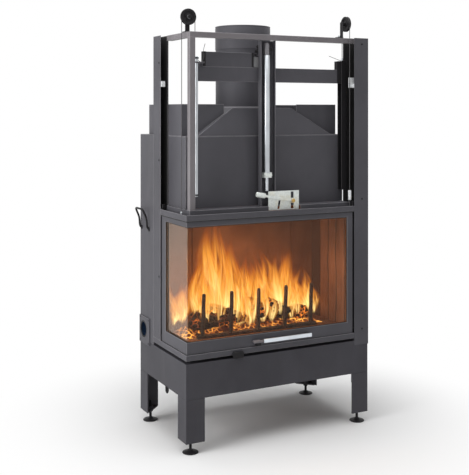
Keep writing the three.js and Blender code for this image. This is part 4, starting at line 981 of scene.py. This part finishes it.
def make_log_guard():
    """Cast rail with five tapering bars, each a little bent and pitted by the heat."""
    low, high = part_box("log_guard")
    top = high.z
    rail = Form().block(low, (high.x, high.y, low.z + 14 * MM))
    rail.piece("guard_rail", "root", iron, "cast_iron", bevel=2.5, replaces=["log_guard"], segments=3)
    bars = Form()
    count, pitch, first = 5, 134, 134
    for i in range(count):
        foot = at(first + pitch * i, 130, low.z / MM + 8)
        lean = 5 - 2 * (i % 3)
        tip = Vector((foot.x + lean * MM, foot.y - 4 * MM, top - 1 * MM))
        steps = 30
        points, radii = [], []
        for k in range(steps + 1):
            t = k / steps
            sway = [noise.noise(Vector((i * pace, t * 3, row))) for pace, row in ((7.1, 0), (3.3, 5))]
            points.append(foot.lerp(tip, t) + Vector((*sway, 0)) * (2.4 * MM * t * (1 - t) * 4))
            worn = 1 + 0.1 * noise.noise(Vector((i * 5.0, t * 14, 2)))
            radii.append((9.4 - 1.4 * t) * MM * worn * (0.72 if k == steps else 1))
        bars.tube(points, 0, 18, radii)
    bars.piece("guard_bars", "root", iron, "cast_iron", angle=70)


# ---- the fire: logs, embers and flames, the hearth's contents in use ----
random.seed(7)


def make_log(name, start, end, radius, seed):
    """A split log: bark on its round side, a flatter broken side, and charred ends."""
    start, end = at(*start), at(*end)
    along = (end - start).normalized()
    side = along.orthogonal().normalized()
    up = along.cross(side)
    rings, sides, steps = [], 40, 44
    for k in range(steps + 1):
        t = k / steps
        point = start.lerp(end, t)
        taper = min(1.0, 0.45 + 9 * t, 0.45 + 9 * (1 - t))
        for j in range(sides):
            a = 2 * math.pi * j / sides
            out = side * math.cos(a) + up * math.sin(a)
            spot = out * 2.1 + Vector((t * 7, seed * 3.7, 0))
            rough = 0.2 * noise.fractal(spot, 0.9, 2.1, 4)
            ridge = 0.06 * math.sin(a * 9 + 3 * noise.noise(Vector((t * 4, seed, 1))))
            split = 0.28 * ease(math.cos(a + seed), 0.2, 0.9)
            rings.append(point + out * (radius * MM * taper * (1 + rough + ridge - split)))
    Form().add(rings, ring_faces(steps + 1, sides)).piece(name, "root", wood, "cast_iron", angle=80)


def make_logs():
    make_log("log_rear", (120, 232, 492), (640, 246, 486), 38, 1)
    make_log("log_front_left", (96, 182, 478), (372, 190, 492), 31, 2)
    make_log("log_front_right", (420, 190, 500), (706, 214, 470), 33, 3)
    make_log("log_crossed", (300, 262, 560), (520, 168, 512), 27, 4)
    make_log("log_leaning", (470, 170, 548), (640, 232, 478), 24, 5)
    make_log("log_small", (190, 250, 545), (300, 176, 520), 20, 6)


def make_embers():
    """A low crusted bed that fills the hearth under the logs."""
    low, high = at(66, 152, 0), at(748, 300, 0)
    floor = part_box("hearth_floor")[1].z + 0.4 * MM
    cols, rows = 110, 30
    top, under = [], []
    for j in range(rows + 1):
        for i in range(cols + 1):
            u, v = i / cols, j / rows
            x = low.x + (high.x - low.x) * u
            y = low.y + (high.y - low.y) * v
            rim = ease(min(u * 4.6, (1 - u) * 4.6, v, 1 - v), 0.0, 0.3)
            lump = 16 + 22 * noise.fractal(Vector((x * 16, y * 16, 4)), 0.8, 2.2, 4)
            top.append((x, y, floor + MM * (1 + rim * max(lump, 3))))
            under.append((x, y, floor))
    Form().add(top + under, slab_faces(cols, rows)).piece("ember_bed", "root", embers, "cast_iron", angle=80)


# how high the flames reach along the hearth, as (x, z) pairs in mm
FLAME_TOPS = (
    (60, 640), (90, 690), (115, 640), (150, 720), (200, 850), (250, 935), (300, 940), (335, 820), (370, 760),
    (420, 775), (480, 750), (530, 775), (580, 790), (640, 760), (690, 700), (730, 600),
)


def flame_top(x):
    for (x0, z0), (x1, z1) in zip(FLAME_TOPS, FLAME_TOPS[1:]):
        if x <= x1:
            return z0 + (z1 - z0) * ease(x, x0, x1)
    return FLAME_TOPS[-1][1]


def make_flames(name, x_low, x_high, count, y_low=168, y_high=286):
    """Leaf-shaped tongues that sway as they rise; each carries its own span of the flame's pattern."""
    vertices, faces, spots = [], [], []
    across, rise = 8, 26
    for tongue in range(count):
        x = x_low + (x_high - x_low) * (tongue + random.uniform(0.1, 0.9)) / count
        y = random.uniform(y_low, y_high)
        foot = random.uniform(448, 492)
        tip = foot + (flame_top(x) - foot) * random.uniform(0.5, 1.06)
        wide = random.uniform(40, 82) * (0.55 + 0.5 * (tip - foot) / 400)
        turn = math.radians(-27 + random.uniform(-55, 55))
        way = Vector((math.cos(turn), math.sin(turn), 0))
        depth = Vector((-math.sin(turn), math.cos(turn), 0))
        phase, lean = random.uniform(0, 6.3), random.uniform(-58, 46)
        shift = random.randint(0, 40)
        start = len(vertices)
        for k in range(rise + 1):
            t = k / rise
            belly = math.sin(math.pi * min(t * 1.7 + 0.12, 1) * 0.5) if t < 0.5 else 1
            half = wide * belly * (1 - ease(t, 0.3, 1.08) * 0.96)
            sway = lean * t * t + 24 * t * math.sin(phase + t * 5.2)
            for i in range(across + 1):
                u = i / across * 2 - 1
                cup = 9 * (1 - u * u) * (1 - t)
                offset = way * (u * half + sway) + depth * (cup + 7 * t * math.sin(phase * 2 + t * 4))
                vertices.append(at(x + offset.x, y + offset.y, foot + (tip - foot) * t))
                spots.append((shift + i / across * 0.998 + 0.001, t))
        for k in range(rise):
            for i in range(across):
                a = start + k * (across + 1) + i
                faces.append([a, a + 1, a + across + 2, a + across + 1])
    inside_low, inside_high = at(46, 148, 430), at(790, 316, 955)
    for v in vertices:
        v.x = min(max(v.x, inside_low.x), inside_high.x)
        v.y = min(max(v.y, inside_low.y), inside_high.y)
    mesh = bpy.data.meshes.new(name)
    mesh.from_pydata(vertices, [], faces)
    layer = mesh.uv_layers.new(name="UVMap")
    for loop in mesh.loops:
        layer.data[loop.index].uv = spots[loop.vertex_index]
    mesh.materials.append(fire)
    mesh.shade_smooth()
    shown = placed(name, mesh)
    shown.visible_shadow = False
    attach(shown, "root")


def make_fire():
    make_logs()
    make_embers()
    make_flames("flames_left", 56, 120, 9, 250, 305)
    make_flames("flames_centre", 150, 350, 34)
    make_flames("flames_right", 330, 735, 46)
    make_flames("flames_front", 150, 700, 12, 150, 170)


# ---- floor, world and lights ----
SKY = 0.24  # how bright the surroundings are as light
FLOOR_SHADE = (0.93, 0.93, 0.93, 1)
NEAR, FAR = 0.35, 1.25  # metres from the middle over which the floor goes to plain white


def seen_directly(tree):
    """1 for what the camera sees itself, in metal or through glass, and 0 for light on other surfaces."""
    path = tree.nodes.new("ShaderNodeLightPath")
    total = path.outputs["Is Camera Ray"]
    for name in ("Is Glossy Ray", "Is Transmission Ray"):
        node = tree.nodes.new("ShaderNodeMath")
        node.operation = "MAXIMUM"
        tree.links.new(total, node.inputs[0])
        tree.links.new(path.outputs[name], node.inputs[1])
        total = node.outputs[0]
    return total


def make_world():
    world = bpy.data.worlds.new("studio")
    world.use_nodes = True
    tree = world.node_tree
    tree.nodes.clear()
    mix = tree.nodes.new("ShaderNodeMixShader")
    tree.links.new(seen_directly(tree), mix.inputs[0])
    for slot, strength in ((1, SKY), (2, 1.0)):
        white = tree.nodes.new("ShaderNodeBackground")
        white.inputs["Color"].default_value = (1, 1, 1, 1)
        white.inputs["Strength"].default_value = strength
        tree.links.new(white.outputs[0], mix.inputs[slot])
    tree.links.new(mix.outputs[0], tree.nodes.new("ShaderNodeOutputWorld").inputs["Surface"])
    scene.world = world


def make_floor():
    mesh = bpy.data.meshes.new("floor")
    half = 9.0
    corners = [(-half, -half, 0), (half, -half, 0), (half, half, 0), (-half, half, 0)]
    mesh.from_pydata(corners, [], [(0, 1, 2, 3)])
    floor = placed("floor", mesh)
    s = Shade("floor")
    away = s.add("VectorMath", {0: s.place}, operation="LENGTH").outputs["Value"]
    fade = s.span(away, NEAR, FAR, 0.0, 1.0, smooth=True)
    matt = s.add("BsdfDiffuse", {"Color": FLOOR_SHADE}).outputs[0]
    white = s.add("Emission", {"Color": (1, 1, 1, 1), "Strength": 1.0}).outputs[0]
    s.show(s.mixed(s.times(fade, seen_directly(s.tree)), matt, white))
    mesh.materials.append(s.material)


def area_light(name, place, target, size, power, colour=(1, 1, 1), mirrored=True):
    data = bpy.data.lights.new(name, "AREA")
    data.shape = "RECTANGLE"
    data.size, data.size_y = size
    data.energy = power
    data.color = colour
    light = placed(name, data)
    light.location = place
    light.rotation_euler = (Vector(target) - Vector(place)).to_track_quat("-Z", "Y").to_euler()
    light.visible_glossy = mirrored


def make_lights():
    area_light("key_left", (-3.6, -0.4, 1.7), (0, 0, 0.9), (2.2, 2.6), 92)
    area_light("top_soft", (-0.3, -0.6, 3.9), (0, 0, 0.6), (3.2, 3.2), 92)
    area_light("fill_right", (2.4, -3.2, 1.5), (0.2, 0, 0.9), (1.2, 2.4), 8, mirrored=False)
    glow = bpy.data.lights.new("fire_glow", "POINT")
    glow.energy = 6.5
    glow.color = (1.0, 0.56, 0.25)
    glow.shadow_soft_size = 0.12
    placed("fire_glow", glow).location = at(300, 190, 640)


make_camera()
make_world()
make_floor()
make_lights()
dress_nodes()
make_flue()
make_pulleys()
make_cables()
make_wire_tails()
make_counterweight_details()
make_guide_rod()
make_damper_rod()
make_lever()
for corner in ("front_left", "front_right", "rear_left", "rear_right"):
    make_foot(corner)
make_side_handle()
make_door_handle()
make_seals()
make_air_knob()
make_inlet()
make_small_parts()
make_gap_shadows()
make_linings()
make_log_guard()
make_fire()

scene.view_settings.view_transform = "Standard"
